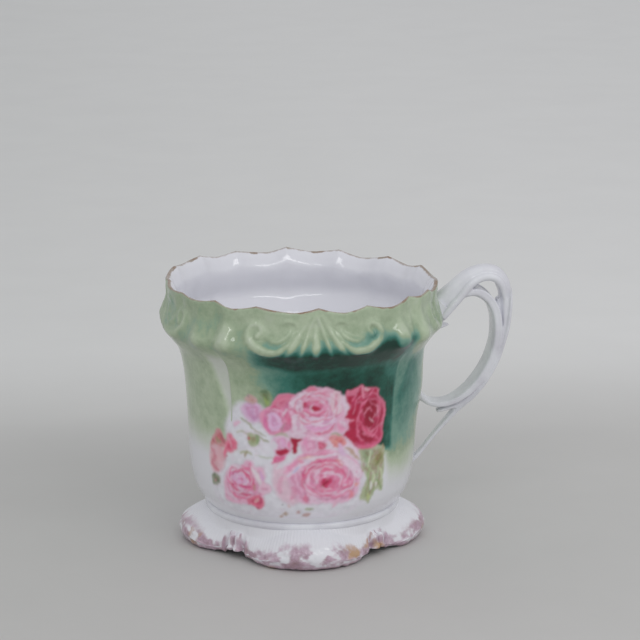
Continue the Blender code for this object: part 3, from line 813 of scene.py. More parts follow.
CORNER_ROSE = [
    petal((212, 162, 184), 0.7, (-32.4, 24), (-32.8, 27), (-31.8, 30.6), (-30, 33), (-27.6, 34.4),
          (-25.4, 34.2), (-23.6, 36.2), (-21.5, 36.1), (-20.4, 34.6), (-17.6, 34.6), (-16.8, 31.6),
          (-17.2, 29.4), (-15.2, 28.4), (-15, 26.4), (-17, 25.4), (-18, 22), (-23, 20.8), (-26, 20.4),
          (-30, 20.4), (-32.4, 21.6)),
    petal((216, 130, 166), 0.4, (-31, 27.6), (-31, 30.5), (-29.3, 32.6), (-26.5, 33.6), (-24, 32.9),
          (-21.8, 31), (-20.2, 28.5), (-19.8, 26), (-21.6, 25.2), (-25, 25.7), (-28, 26.4)),
    fold((202, 96, 140), 0.45, (-30.7, 27.6), (-31, 29.6), (-30.3, 31.5)),
    petal((226, 164, 194), 0.4, (-29.3, 29.4), (-27.6, 31.4), (-25, 31.3), (-22.8, 29.6), (-22.4, 27.9),
          (-25, 27.7), (-28, 28)),
    fold((196, 60, 108), 0.6, (-28, 32.2), (-25.2, 32.6), (-22.8, 31), (-21.3, 28.9), (-20.9, 26.8)),
    fold((170, 26, 66), 0.6, (-30, 28), (-29.4, 27.2), (-28.6, 27.1)),
    fold((194, 66, 112), 0.4, (-26.4, 27.3), (-23.6, 27), (-21.4, 27.3)),
    fold((158, 120, 84), 0.35, (-20.8, 28.4), (-20.4, 26.2)),
    fold((228, 176, 198), 0.5, (-27.4, 26.4), (-24, 25.8), (-21, 25.2)),
    fold((188, 66, 104), 0.4, (-28.7, 26.4), (-27, 25.5)),
    fold((188, 54, 96), 0.42, (-27.6, 25), (-24.4, 24.1), (-22, 24.7)),
    fold((204, 92, 130), 0.4, (-29.6, 24.4), (-27, 22.9), (-24, 23)),
    fold((226, 180, 196), 0.7, (-31.6, 25.4), (-30.4, 23), (-27, 21.6)),
    fold((212, 202, 208), 0.9, (-22.4, 34.6), (-20.4, 32.6), (-19.1, 30.2), (-18.6, 28.4)),
    fold((196, 156, 196), 0.5, (-18.7, 33.4), (-17.9, 31.6), (-17.7, 30)),
    fold((216, 110, 148), 0.5, (-25, 34.2), (-23.4, 33.3), (-22.3, 34.2), (-22.2, 35.6)),
    fold((214, 196, 208), 0.6, (-29.6, 32), (-27.6, 33.6), (-25.6, 33.5)),
    petal((212, 172, 190), 0.4, (-19.4, 27.6), (-17.5, 28.9), (-15.4, 28.4), (-15, 26.6), (-17, 25.5),
          (-19, 25.7)),
    petal((202, 94, 122), 0.4, (-23.4, 22), (-21.6, 23.8), (-19.6, 24.6), (-18, 24.1), (-17, 22.3),
          (-17.5, 20.6), (-18.8, 19.2), (-20.4, 20.2), (-22.4, 20.8)),
    fold((222, 164, 168), 0.55, (-20.6, 21.8), (-19.6, 22.6), (-19, 23.4)),
    fold((168, 66, 98), 0.32, (-18.5, 24.2), (-18, 22.8), (-18.6, 21.6)),
    fold((160, 62, 86), 0.4, (-19.6, 20), (-18.8, 19.6)),
]
EDGE_SPRAY = [
    petal((202, 160, 168), 1.4, (-39.4, 39), (-34, 39.4), (-32, 36), (-34, 31), (-38, 30), (-40, 34)),
    petal((186, 116, 118), 0.6, (-39.4, 38.4), (-38.6, 41.2), (-37, 43.6), (-35.8, 45.4), (-34.4, 45.2),
          (-32.8, 43.2), (-31.6, 41.4), (-32.2, 39.6), (-34.4, 39), (-36.6, 39.8)),
    fold((150, 134, 108), 0.9, (-36.6, 42.2), (-35.4, 41.2), (-34, 41)),
    fold((160, 84, 92), 0.6, (-38.4, 41), (-37, 40.2)),
    fold((158, 88, 98), 0.5, (-34.6, 44), (-33.2, 42.6), (-32.4, 41)),
    petal((206, 100, 126), 0.5, (-31.8, 41.6), (-31, 44), (-29.8, 45), (-28.6, 43.5), (-27, 41.8),
          (-27.8, 39.4), (-29.4, 38.2), (-31.4, 37.8), (-32.4, 35.4), (-32.8, 38)),
    fold((226, 142, 160), 0.5, (-30.6, 43.2), (-29.8, 41.6), (-29.4, 40)),
    fold((176, 72, 96), 0.4, (-31.8, 36.4), (-31, 37)),
    fold((190, 120, 134), 1.0, (-39, 37.8), (-37.4, 36.8), (-37.2, 34.8), (-38.6, 33.2)),
    fold((188, 116, 130), 0.9, (-38.6, 32.6), (-37, 31.4), (-35.2, 30.6)),
    petal((122, 134, 108), 0.6, (-39, 28.4), (-37, 29.4), (-35, 29), (-34.6, 27), (-36, 25.4),
          (-38.6, 25.4)),
    fold((92, 106, 84), 0.5, (-38.2, 28.6), (-36.8, 28.8)),
    fold((172, 128, 130), 0.5, (-37.4, 27), (-36.6, 26.8)),
    fold((96, 112, 88), 0.45, (-35.4, 27.6), (-35.8, 26.2)),
]
RIGHT_LEAVES = [
    petal(LEAF, 0.5, (14.4, 40), (17, 40), (20, 40.6), (23, 40), (25.4, 38.8), (25.2, 35), (25.6, 32),
          (25, 29.4), (25.1, 26.6), (24.6, 23.8), (23, 24.6), (21.6, 24.6), (20.4, 22.4), (18.8, 20),
          (17.6, 21.4), (15.4, 22.4), (15.8, 25), (16.8, 27.2), (17.8, 29.6), (16.8, 31.6), (15.8, 33),
          (15.4, 36)),
    petal((136, 156, 118), 0.5, (15.6, 39.6), (18.6, 39.8), (20.4, 38.6), (19, 35.6), (17.6, 33.4),
          (16.6, 35.6)),
    petal((140, 142, 98), 0.5, (20.4, 37.6), (23, 38.8), (25, 37.6), (25.2, 34.6), (23, 33.3),
          (20.8, 33.4), (20.1, 35.6)),
    fold((116, 122, 76), 0.45, (24.8, 36.8), (23, 34.6), (21, 33.4)),
    fold(LEAF_LIGHT, 0.4, (19.3, 39), (18.9, 36.4), (18.2, 33.2)),
    fold(LEAF_LIGHT, 0.4, (20.4, 31.6), (21, 29.6), (20.2, 27)),
    fold(LEAF_LIGHT, 0.5, (23.4, 32.2), (24.2, 30), (24, 28)),
    fold((130, 150, 104), 0.32, (19, 33), (18.3, 30.4), (18.6, 27.6), (19.2, 24.4)),
    fold((126, 148, 104), 0.36, (22, 31), (22.3, 28.4), (23.6, 26), (24.4, 24.4)),
    fold((134, 152, 108), 0.3, (17, 26.4), (17.8, 24.8), (18, 22.6)),
    fold((132, 150, 106), 0.32, (21.4, 26.6), (20.9, 25), (20.3, 23.4)),
    fold((212, 214, 204), 0.5, (19.7, 28.2), (19.8, 26.6), (19.6, 25.2)),
    fold((208, 212, 200), 0.45, (21.8, 27.6), (21.8, 25.8)),
    fold((172, 184, 124), 0.55, (18.8, 24), (18.9, 22.4), (18.6, 21.2)),
    fold((166, 124, 104), 0.4, (16, 33), (16.4, 32)),
    fold((150, 132, 104), 0.5, (24.4, 40), (24.9, 38.6)),
]
LAST_TOUCHES = [
    fold((152, 124, 90), 0.9, (-9.8, 19.1), (-9.7, 17.8)),
    fold((160, 128, 104), 0.7, (-11.4, 17.4), (-10.6, 17)),
    fold((176, 134, 130), 0.8, (-5.8, 19.6), (-5.2, 18.8)),
    fold((172, 132, 124), 0.8, (-3.8, 17.6), (-1.6, 18.6)),
    fold((150, 156, 128), 0.5, (-3.6, 20.4), (-0.6, 20.2)),
    fold(SPECK, 0.32, (-10.9, 22.1), (-10.7, 22)),
    fold((188, 150, 144), 0.4, (-8.7, 22), (-8.8, 21)),
]

GOLDEN_ANGLE = 137.5  # from one stroke to the next, so that none line up


def fine_folds(centre, reach, count, light, dark, seed):
    """Thin curved strokes round a flower's middle, light and dark by turns."""
    strokes = []
    for k in range(count):
        share = math.sqrt((k + 0.6) / count)
        sweep = 20 + 30 * hashed(k, seed, 5)
        turns = np.radians(GOLDEN_ANGLE * k + 40 * hashed(k, seed, 3) + sweep * np.array([-1, 0, 1]))
        spiral = 0.4 * (hashed(k, seed, 9) - 0.5) * np.array([-1, 0, 1])
        far = np.clip(share * (np.array([0.93, 1.04, 0.97]) + spiral), 0, 1)
        across = centre[0] + reach[0] * far * np.cos(turns)
        up = centre[1] + reach[1] * far * np.sin(turns)
        tint = light if k % 2 else dark
        strokes.append(fold(tint, 0.16 + 0.16 * hashed(k, seed, 7), *zip(across, up)))
    return strokes


BOUQUET = [
    HALO, EDGE_SPRAY, LILAC_SPRAY, RIGHT_LEAVES,
    LOWER_ROSE, fine_folds((4.4, 31), (9.4, 7.4), 34, BLUSH, DUSTY, 1),
    CORNER_ROSE, fine_folds((-26, 29.5), (5.2, 5.4), 20, BLUSH, DUSTY, 2),
    LEFT_ROSE, CRIMSON_ROSE, fine_folds((18, 51), (6.2, 8.6), 30, (202, 110, 138), (146, 30, 58), 3),
    UPPER_ROSE, fine_folds((0, 55.4), (7.4, 6.4), 24, BLUSH, DUSTY, 4),
    MIDDLE_BUDS, LAST_TOUCHES,
]
PRINT_LEFT, PRINT_RIGHT, PRINT_LOW, PRINT_HIGH = -41.5, 27.5, 15.6, 65.4
PRINT_STEP = 0.27
WOBBLE = 0.42  # how far hand-drawn edges wander
DEEPEST_TINT = 300  # sum of red, green and blue up to which paint takes no blush
DARK_TINT = 330  # and up to which a petal's edge is not lit
PRINT_COARSE = 8  # points of the skin's front for each one of its back
PRINT_PROUD = 0.03  # how far the skin's front stands off the wall
PRINT_SUNK = 0.6  # how far its back lies inside the wall
CAST_SHADE = np.array([0.5, 1.0, 0.8])  # how much less red, green and blue there is beside a petal
PETAL_SHADE = np.array([0.22, 0.62, 0.46])  # how much less red, green and blue a shaded petal gives


def inside(outline, u, v):
    """True for the points within a closed outline."""
    within = np.zeros(u.shape, bool)
    for (x1, y1), (x2, y2) in zip(outline, np.roll(outline, -1, axis=0)):
        if y1 != y2:
            within ^= ((y1 > v) != (y2 > v)) & (u < (x2 - x1) * (v - y1) / (y2 - y1) + x1)
    return within


def closed_through(keys, steps=6):
    """Points of a smooth closed curve through the keys."""
    keys = np.array(keys, float)
    wrapped = np.vstack([keys[-2:], keys, keys[:2]])
    return smooth_through(wrapped, steps)[2 * steps:-2 * steps]


def cover_with(colour, covered, chosen, mask, paint):
    """Lays paint over the chosen points of the picture as thickly as the mask says."""
    old = covered[chosen] * (1 - mask)
    total = mask + old
    share = np.where(total > 0, mask / np.maximum(total, 1e-6), 0)[:, None]
    colour[chosen] = colour[chosen] * (1 - share) + paint * share
    covered[chosen] = total


def lightened(paint, share):
    """The paint taken this far towards BLUSH."""
    return paint + (np.array(seen(*BLUSH)) - paint) * share[:, None]


def fold_mask(size, points, u, v):
    """How thickly a stroke covers each point: it tapers at both ends and has soft sides."""
    line = smooth_through(points, 6)
    line = np.column_stack([line, np.linspace(0, 1, len(line))])
    away, (share,) = nearest_on(line, u, v)
    half = size * (0.45 + 0.75 * np.sin(np.pi * share) ** 0.7)
    return 0.85 * ease(half * 1.5, half * 0.1, away)


def paint_bouquet(across, height):
    """The print's colour and cover at each point of the wall."""
    colour, covered = np.ones((len(across), 3)) * GLAZE_WHITE, np.zeros(len(across))
    u_all = across + WOBBLE * mottle(across * 1.1, height * 1.1, 41, 3)
    v_all = height + WOBBLE * mottle(across * 1.1, height * 1.1, 43, 3)
    grain = 1 + 0.12 * mottle(across * 0.8, height * 0.8, 47, 3)
    blushing = 0.32 * ease(0.0, 0.8, mottle(across * 0.55 + 7, height * 0.55, 53, 4))
    for kind, tint, size, points in [item for flower in BOUQUET for item in flower]:
        margin = 3 * size + 1
        (left, low), (right, high) = np.min(points, axis=0) - margin, np.max(points, axis=0) + margin
        chosen = np.flatnonzero((u_all > left) & (u_all < right) & (v_all > low) & (v_all < high))
        u, v = u_all[chosen], v_all[chosen]
        paint = np.array(seen(*tint)) * grain[chosen][:, None]
        paint = lightened(paint, blushing[chosen] * (sum(tint) > DEEPEST_TINT))
        if kind == "petal":
            outline = closed_through(points)
            away, _ = nearest_on(np.vstack([outline, outline[:1]]), u, v)
            depth = np.where(inside(outline, u, v), away, -away)
            shadow = 0.10 * bump(-0.25, 0.45, depth) * (depth < 0) * covered[chosen]
            colour[chosen] *= 1 - shadow[:, None] * CAST_SHADE
            paint = lightened(paint, 0.14 * bump(0.5, 0.45, depth) * (sum(tint) > DARK_TINT))
            layers = 0.5 + 0.5 * np.cos(depth * 3.4 + 3.2 * mottle(u * 0.8, v * 0.8, 59, 3))
            shade = 0.6 * layers * ease(0.2, 0.9, depth) * (size < 1)
            paint = paint * (1 - shade[:, None] * PETAL_SHADE)
            mask = ease(-size * 0.6, size * 0.6, depth)
        else:
            mask = fold_mask(size, points, u, v)
        cover_with(colour, covered, chosen, mask, paint)
    return np.clip(colour, 0.01, 0.95), covered


def softened(colour, covered, rows, columns):
    """The same picture slightly blurred, as printed ink sinks into glaze."""
    grid = np.column_stack([colour * covered[:, None], covered]).reshape(rows, columns, 4)
    for axis in (0, 1, 0, 1):
        grid = (np.roll(grid, 1, axis) + 2 * grid + np.roll(grid, -1, axis)) / 4
    grid = grid.reshape(-1, 4)
    return grid[:, :3] / np.maximum(grid[:, 3:], 1e-3), grid[:, 3]


def wall_radius(height):
    """Radius of the turned outer wall at each height."""
    dense = smooth_through([LIP_KEYS[-1], *OUTER_KEYS])
    order = np.argsort(dense[:, 1])
    return np.interp(height, dense[order, 1], dense[order, 0])


def build_print():
    """The rose print: a thin fine-grained skin over the front wall that carries the picture."""
    coarse = PRINT_COARSE
    columns = round((PRINT_RIGHT - PRINT_LEFT) / PRINT_STEP / coarse) * coarse + 1
    rows = round((PRINT_HIGH - PRINT_LOW) / PRINT_STEP / coarse) * coarse + 1
    across, height = np.meshgrid(
        np.linspace(PRINT_LEFT, PRINT_RIGHT, columns), np.linspace(PRINT_LOW, PRINT_HIGH, rows))
    front = print_surface(across.ravel(), height.ravel(), PRINT_PROUD)
    back = print_surface(across[::coarse, ::coarse].ravel(), height[::coarse, ::coarse].ravel(), -PRINT_SUNK)
    number = np.arange(rows * columns).reshape(rows, columns)
    under = rows * columns + np.arange(len(back)).reshape(number[::coarse, ::coarse].shape)
    faces = quads(number) + quads(under[:, ::-1])
    for side in (np.s_[0], np.s_[:, -1], np.s_[-1, ::-1], np.s_[::-1, 0]):
        faces += bridge(list(number[side]), list(under[side]), closed=False)
    across, height = across.ravel(), height.ravel()
    colour, covered = softened(*paint_bouquet(across, height), rows, columns)
    ground = ground_with_painted_highlights(np.degrees(across / wall_radius(height)), height)
    filler = np.zeros(len(back))
    attributes = {
        "ground": np.append(ground, filler),
        "gilding": np.zeros(len(front) + len(back)),
        "cover": np.append(covered, filler),
        "print_colour": np.vstack([colour, np.ones((len(back), 3))]),
    }
    return mesh_object("rose_print", np.vstack([front, back]), faces, attributes)


def quads(number):
    """Faces of a grid of vertex numbers, row by row."""
    a, b = number[:-1, :-1].ravel(), number[:-1, 1:].ravel()
    c, d = number[1:, 1:].ravel(), number[1:, :-1].ravel()
    return np.column_stack([a, b, c, d]).tolist()


def print_surface(across, height, proud):
    """Points of the moulded wall, this far outside it, dipping under it at the borders."""
    sides = (across - PRINT_LEFT, PRINT_RIGHT - across, height - PRINT_LOW, PRINT_HIGH - height)
    margin = np.min(sides, axis=0)
    proud = proud - 0.09 * ease(1.4, 0.2, margin)
    angle = across / wall_radius(height) - np.pi / 2
    slope = (wall_radius(height + 0.2) - wall_radius(height - 0.2)) / 0.4
    normal_r = 1 / np.hypot(1, slope)
    normal_z = -slope * normal_r
    radius, new_height = moulded(wall_radius(height), height, normal_r, normal_z, angle, 1)
    return place(radius + proud * normal_r, new_height + proud * normal_z, angle)


# ---------------------------------------------------------------- the foot

# Foot outline at a lobe's middle (radius, height): down its hollow inside to the edge that it stands on,
# then up its outside to the junction.
FOOT_PATH = [
    (28.0, 13.3), (28.6, 9.6), (33.4, 7.6), (35.0, 4.0), (35.4, 1.2), (35.7, 0.2), (36.4, 0.0),
    (37.3, 0.15),
]
FOOT_OUTSIDE = [
    (38.8, 0.6), (40.2, 1.4), (41.2, 2.6), (FOOT_RADIUS, 4.0), (41.4, 5.4), (40.6, 6.8), (39.2, 8.1),
    (37.0, 9.5), (34.6, 10.8), (32.8, 11.7), (31.0, 13.3),
]
FOOT_NECK = 32.0  # radius within which the foot is round


def lobe_radius(turn):
    """Radius of the foot's outline: four circles, with a scroll knot in each corner between them."""
    off = np.radians(off_panel(turn + FOOT_TWIST))
    circle = FOOT_RADIUS - LOBE_CENTRE
    outline = LOBE_CENTRE * np.cos(off) + np.sqrt(circle**2 - (LOBE_CENTRE * np.sin(off)) ** 2)
    from_corner = np.degrees(np.pi / 4 - np.abs(off))
    return outline + 3.2 * bump(0, 4.6, from_corner)


def foot_relief(turn, height):
    """Fine ribs that end in a scalloped edge, soft dents below them, and the beads of the corner knots."""
    off = off_panel(turn + FOOT_TWIST)
    from_corner = 45 - np.abs(off)
    edge = 6.6 + 0.8 * np.sin(np.radians(off * 9)) + 0.9 * mottle(turn / 4, turn * 0, 21, 2)
    in_lobe = ease(6.5, 8.5, from_corner)
    ribs = 0.06 * np.cos(np.radians(off * 200)) * ease(edge - 0.2, edge + 0.8, height)
    ribs = ribs * ease(12.8, 11.4, height)
    step = 0.25 * ease(edge - 0.4, edge + 0.4, height)
    dents = 0.35 * mottle(turn / 3.2, height / 2.4, 8, 2) * ease(edge + 0.5, edge - 1.0, height)
    hem = 0.3 * bump(1.0, 0.8, height)
    border = 0.45 * bump(8.2, 1.1, from_corner) * ease(11, 8.5, height)
    bead_turn = np.abs(from_corner - 2.5)
    bead = 1.5 * np.sqrt(np.clip(1 - (bead_turn / 2.5) ** 2, 0, 1))
    bead = bead * ease(1.0, 3.0, height) * ease(11.5, 8.5, height)
    groove = -0.8 * bump(5.9, 0.9, from_corner) * ease(11, 8.5, height)
    coil = 0.3 * np.cos(height * 2.2 + from_corner * 0.7) * ease(3.4, 2, bead_turn)
    return (ribs + step + dents + hem) * in_lobe + border + bead + groove + coil * ease(11, 9, height)


def shape_foot(radius, height, normal_r, normal_z, angle, outside):
    """The round foot drawn in between its lobes, hollowed there above and below, with its relief outside."""
    turn = turn_of(angle)
    reach = (lobe_radius(turn) - FOOT_NECK) / (FOOT_RADIUS - FOOT_NECK)
    drawn_in = (1 - reach) * np.maximum(radius - FOOT_NECK, 0)
    off = np.abs(off_panel(turn + FOOT_TWIST))
    lift = 1.2 * ease(22, 36, off) + 1.5 * ease(35, 42, off)
    move = foot_relief(turn, height) * outside if outside else 0
    sag = 3.2 * ease(6, 30, off) * (1 - 0.35 * ease(35, 41, off))
    sag = sag * ease(13.2, 11, height) * ease(2, 6, height)
    new_height = np.maximum(height + lift * ease(4.5, 0.3, height) - sag + move * normal_z, 0)
    return radius - drawn_in + move * normal_r, new_height


def build_foot():
    """The hollow foot, inside and out, with its lustre."""
    inner = respaced(smooth_through(FOOT_PATH), 1.0)
    outer = respaced(smooth_through([FOOT_PATH[-1], *FOOT_OUTSIDE]), 0.34)[1:]
    path = np.vstack([inner, outer])
    along = np.roll(path, -1, axis=0) - np.roll(path, 1, axis=0)
    along /= np.linalg.norm(along, axis=1)[:, None]
    sides = [(0, 240)] * len(inner) + [(1, 960)] * len(outer)
    rows = np.column_stack([path, along[:, 1], -along[:, 0], sides])  # the normals point away from the clay
    points, rings, (turn, height, outside) = turned(rows, shape_foot)
    lustre = foot_lustre(turn, height) * outside
    return mesh_object("foot_casting", points, skin(rings, looped=True, flip=True), {"lustre": lustre})


def foot_lustre(turn, height):
    """Where the mauve lustre lies: patches low on each lobe, its borders, the hem and the knots."""
    from_corner = 45 - np.abs(off_panel(turn + FOOT_TWIST))
    patches = ease(-0.5, 0.5, mottle(turn / 5, height / 2.2, 31, 4)) * ease(10.5, 6.5, height)
    hem = 0.9 * bump(0.9, 1.1, height)
    border = 0.9 * bump(8.2, 1.5, from_corner) * ease(10.5, 8, height)
    knots = 0.75 * ease(-0.5, 0.4, mottle(turn / 1.6, height / 2.5, 12, 2)) * ease(6.5, 5, from_corner)
    return np.maximum(np.maximum(patches, hem), np.maximum(border, knots * ease(11.5, 9.5, height)))


def foot_glaze():
    """White glaze with thin mauve lustre in patches and a few gold-brown spots."""
    surface = Surface("foot_glaze")
    cloud = surface.noise(260, 5.0, 0.7)
    amount = surface.mapped(surface.calc("SUBTRACT", surface.attribute("lustre"), cloud), -0.4, 0.35)
    mauve = [(0.35, seen(180, 162, 174)), (0.5, seen(160, 136, 150)), (0.65, seen(142, 116, 122))]
    colour = surface.mixed(amount, GLAZE_WHITE, surface.ramp(cloud, *mauve))
    spots = surface.mapped(surface.noise(95, 2.0), 0.62, 0.72, 0.8)
    spots = surface.calc("MULTIPLY", spots, amount)
    return surface.glazed(surface.mixed(spots, colour, seen(168, 136, 92)))


def build_junction():
    """The white roll of slip between body and foot."""
    low, high, edge = 11.4, 14.1, 31.5  # edge is the radius of the middle of its round side
    middle, half = (low + high) / 2, (high - low) / 2
    outline = [(29.0, high), (30.0, high)]
    for a in np.radians(range(80, -81, -16)):
        outline.append((edge + half * math.cos(a), middle + half * math.sin(a)))
    outline += [(30.0, low), (29.0, low)]
    points, rings, _ = turned([(r, z, 0, 0, 1, 288) for r, z in outline])
    return mesh_object("junction_roll", points, skin(rings, looped=True))


# ---------------------------------------------------------------- the handle

# Strands in the plane of the handle. Each key is distance from the mug's axis, height, half thickness and
# half width.
STRAP_KEYS = [
    (45.2, 77.6, 3.8, 6.0), (48.7, 81.0, 3.5, 5.8), (51.9, 84.0, 3.15, 5.6), (56.3, 88.2, 2.65, 5.4),
    (61.0, 90.2, 2.4, 5.2), (65.4, 89.7, 2.4, 5.2), (68.3, 86.4, 2.2, 5.2), (69.0, 81.4, 1.85, 5.2),
    (69.0, 76.5, 1.5, 5.2), (68.8, 72.2, 1.25, 5.1), (67.6, 67.4, 1.2, 5.1), (65.2, 60.0, 1.2, 5.0),
    (61.4, 53.1, 1.15, 4.8), (58.2, 48.9, 1.1, 4.4), (55.2, 45.4, 0.95, 3.7), (52.2, 42.0, 0.85, 2.9),
    (49.0, 38.4, 0.8, 2.3), (45.4, 34.3, 0.75, 2.0), (42.2, 30.2, 0.75, 1.9), (40.1, 27.6, 0.75, 1.9),
    (38.0, 25.4, 0.75, 1.9), (35.8, 23.4, 0.75, 1.9),
]
LOOP_KEYS = [
    (52.2, 81.6, 0.9, 4.4), (56.0, 83.6, 1.3, 4.8), (59.6, 83.5, 1.5, 5.0), (63.2, 80.8, 1.5, 5.1),
    (65.4, 76.2, 1.5, 5.1), (65.9, 70.6, 1.5, 5.1), (65.4, 65.5, 1.5, 5.1), (63.4, 59.5, 1.45, 5.0),
    (60.3, 54.2, 1.35, 4.9), (56.2, 49.6, 1.2, 4.6), (51.6, 46.5, 1.0, 4.2), (47.4, 45.4, 0.9, 4.0),
    (43.3, 45.9, 0.9, 4.0), (40.2, 47.6, 1.0, 4.0), (38.0, 50.0, 1.0, 4.0),
]
WEB_KEYS = [
    (66.6, 81.0, 0.5, 2.0), (67.2, 77.4, 1.0, 2.8), (67.5, 74.0, 1.1, 3.0), (67.5, 71.0, 1.0, 3.0),
    (66.6, 65.4, 1.0, 3.0), (64.5, 59.4, 1.0, 2.9), (61.0, 53.0, 1.0, 2.8), (57.4, 48.6, 1.1, 2.8),
    (54.6, 46.0, 1.2, 2.8), (52.4, 44.2, 1.0, 2.4),
]
# The slip that joins the loop to the wall and spreads up it.
FLARE_KEYS = [
    (42.6, 46.3, 1.0, 4.0), (40.7, 47.6, 1.2, 4.1), (39.5, 49.8, 1.1, 3.9), (39.3, 53.0, 0.8, 3.4),
    (39.6, 57.0, 0.5, 2.4),
]
# A short spur from the collar, the filling between collar and strap, and a spur below the loop.
BRACKET_KEYS = [
    (44.6, 71.9, 1.0, 4.0), (46.8, 72.2, 0.8, 3.4), (48.6, 72.3, 0.5, 2.2), (50.0, 72.3, 0.2, 0.8),
]
GUSSET_KEYS = [(46.0, 74.6, 1.9, 4.4), (47.6, 75.6, 1.3, 4.0), (49.2, 77.2, 0.8, 3.4)]
TICK_KEYS = [
    (53.4, 44.4, 0.9, 2.6), (50.0, 43.5, 0.9, 2.3), (47.4, 42.6, 0.7, 2.0), (46.0, 42.2, 0.4, 1.6),
]
HANDLE_VOXEL = 0.28
PAD_VOXEL = 0.22
PAD_SMOOTHING = 4


def strand_frames(keys):
    """Points along a strand, each with its half sizes, and the in-plane normals that point outwards."""
    points = respaced(smooth_through(keys), 0.7)
    return points, left_of(points)


def loft(points, outward, section):
    """A closed tube. section turns half sizes and the share of the way into a ring of (normal, sideways)."""
    rings, vertices = [], []
    for i, (point, normal) in enumerate(zip(points, outward)):
        ring = section(point[2], point[3], i / (len(points) - 1))
        radius = point[0] + ring[:, 0] * normal[0]
        height = point[1] + ring[:, 0] * normal[1]
        first = len(rings) * len(ring)
        rings.append(list(range(first, first + len(ring))))
        vertices.append(np.column_stack([AXIS_X + radius, AXIS_Y + ring[:, 1], height]) * MM)
    return np.vstack(vertices), [rings[0], rings[-1][::-1]] + skin(rings, flip=True)


def rounded_box(thick, wide, squareness=3.2, sides=28):
    """A ring of points round a rounded box section."""
    turn = 2 * np.pi * np.arange(sides) / sides
    c, s = np.cos(turn), np.sin(turn)
    power = 2 / squareness
    return np.column_stack([
        thick * np.sign(c) * np.abs(c) ** power, wide * np.sign(s) * np.abs(s) ** power,
    ])


def strap_section(thick, wide, share):
    """Near the collar the strap's outer side is narrower than its inner one, so its faces lean back."""
    ring = rounded_box(thick, wide * (0.72 + 0.14 * ease(0.25, 0.4, share)))
    lean = 0.2 * (1 - ease(0.2, 0.34, share))
    ring[:, 1] *= 1 - lean * (ring[:, 0] / thick + 1) / 2
    return ring


def rib(keys, side, face, radius, start=0.0, end=1.0, inset=0.35):
    """A round rib along a strand. side is 1 by its outer edge, -1 by its inner; face is 1 or -1."""
    points, outward = strand_frames(keys)
    share = np.linspace(0, 1, len(points))
    keep = (share >= start) & (share <= end)
    points, outward, share = points[keep], outward[keep], share[keep]
    fade = ease(start - 0.001, start + 0.10, share) * ease(end + 0.001, end - 0.10, share)
    size = np.maximum(radius * fade, 0.12)
    shift = side * (points[:, 2] - inset)
    centre = points.copy()
    centre[:, :2] += outward * shift[:, None]
    sideways = face * (points[:, 3] - radius)

    def section(thick, wide, at):
        i = int(round(at * (len(points) - 1)))
        ring = rounded_box(size[i], size[i], 2.0, 14)
        ring[:, 1] += sideways[i]
        return ring

    return loft(centre, outward, section)


def joined(parts):
    """One list of vertices and faces from several."""
    vertices, faces, count = [], [], 0
    for points, polygons in parts:
        faces += [[v + count for v in polygon] for polygon in polygons]
        vertices.append(points)
        count += len(points)
    return np.vstack(vertices), faces


def fused(name, parts, voxel, smoothing):
    """Closed shapes fused into one skin by a voxel remesh, then smoothed."""
    rough = mesh_object(name + "_rough", *joined(parts))
    remesh = rough.modifiers.new("fuse", "REMESH")
    remesh.mode = "VOXEL"
    remesh.voxel_size = voxel * MM
    remesh.use_smooth_shade = True
    smooth = rough.modifiers.new("smooth", "SMOOTH")
    smooth.factor = 0.5
    smooth.iterations = smoothing
    bpy.context.view_layer.update()
    mesh = bpy.data.meshes.new_from_object(rough.evaluated_get(bpy.context.evaluated_depsgraph_get()))
    bpy.data.objects.remove(rough)
    mesh.name = name
    mesh.materials.clear()
    return in_scene(name, mesh)


def plain_section(thick, wide, share):
    """The same rounded box all along."""
    return rounded_box(thick, wide)


def build_handle():
    """Strap, loop and web, with ribs along their edges, as one casting."""
    parts = [loft(*strand_frames(STRAP_KEYS), strap_section)]
    for keys in (LOOP_KEYS, WEB_KEYS, BRACKET_KEYS, GUSSET_KEYS, TICK_KEYS):
        parts.append(loft(*strand_frames(keys), plain_section))
    for face in (-1, 1):
        parts.append(rib(STRAP_KEYS, -1, face, 1.3, -0.12, 0.38, 1.2))
        parts.append(rib(STRAP_KEYS, 1, face, 0.6, 0.26, 0.78))
        parts.append(rib(LOOP_KEYS, 1, face, 0.6, 0.04, 0.97))
    return fused("handle_casting", parts, HANDLE_VOXEL, 3)


def build_pad(name, keys, at_start):
    """The slip at one end of the handle: a short flare round that end of a strand, or the whole strand."""
    points, outward = strand_frames(keys)
    if at_start is None:
        return fused(name, [loft(points, outward, plain_section)], PAD_VOXEL, PAD_SMOOTHING)
    ends = slice(0, 6) if at_start else slice(-6, None)
    points, outward = points[ends], outward[ends]

    def section(thick, wide, share):
        near_wall = 1 - share if at_start else share
        grow = 0.84 + 0.18 * near_wall**2
        return rounded_box(thick * grow, wide * grow)

    return fused(name, [loft(points, outward, section)], PAD_VOXEL, PAD_SMOOTHING)


# ---------------------------------------------------------------- camera, light, stage

def make_camera():
    """A long lens at the mug's left front, looking a little down at it and a little to its right."""
    side, distance, height = math.radians(-7), 900, 297
    heading = math.atan2(math.cos(side), -math.sin(side)) + math.radians(-0.39)
    pitch = math.radians(-13.84)
    data = bpy.data.cameras.new("camera")
    data.lens = 155.5
    data.sensor_width = 36
    camera = in_scene("camera", data)
    across, back = distance * math.sin(side), distance * math.cos(side)
    camera.location = ((AXIS_X + across) * MM, (AXIS_Y - back) * MM, height * MM)
    forward = Vector((
        math.cos(heading) * math.cos(pitch), math.sin(heading) * math.cos(pitch), math.sin(pitch),
    ))
    camera.rotation_euler = forward.to_track_quat("-Z", "Y").to_euler()
    bpy.context.scene.camera = camera


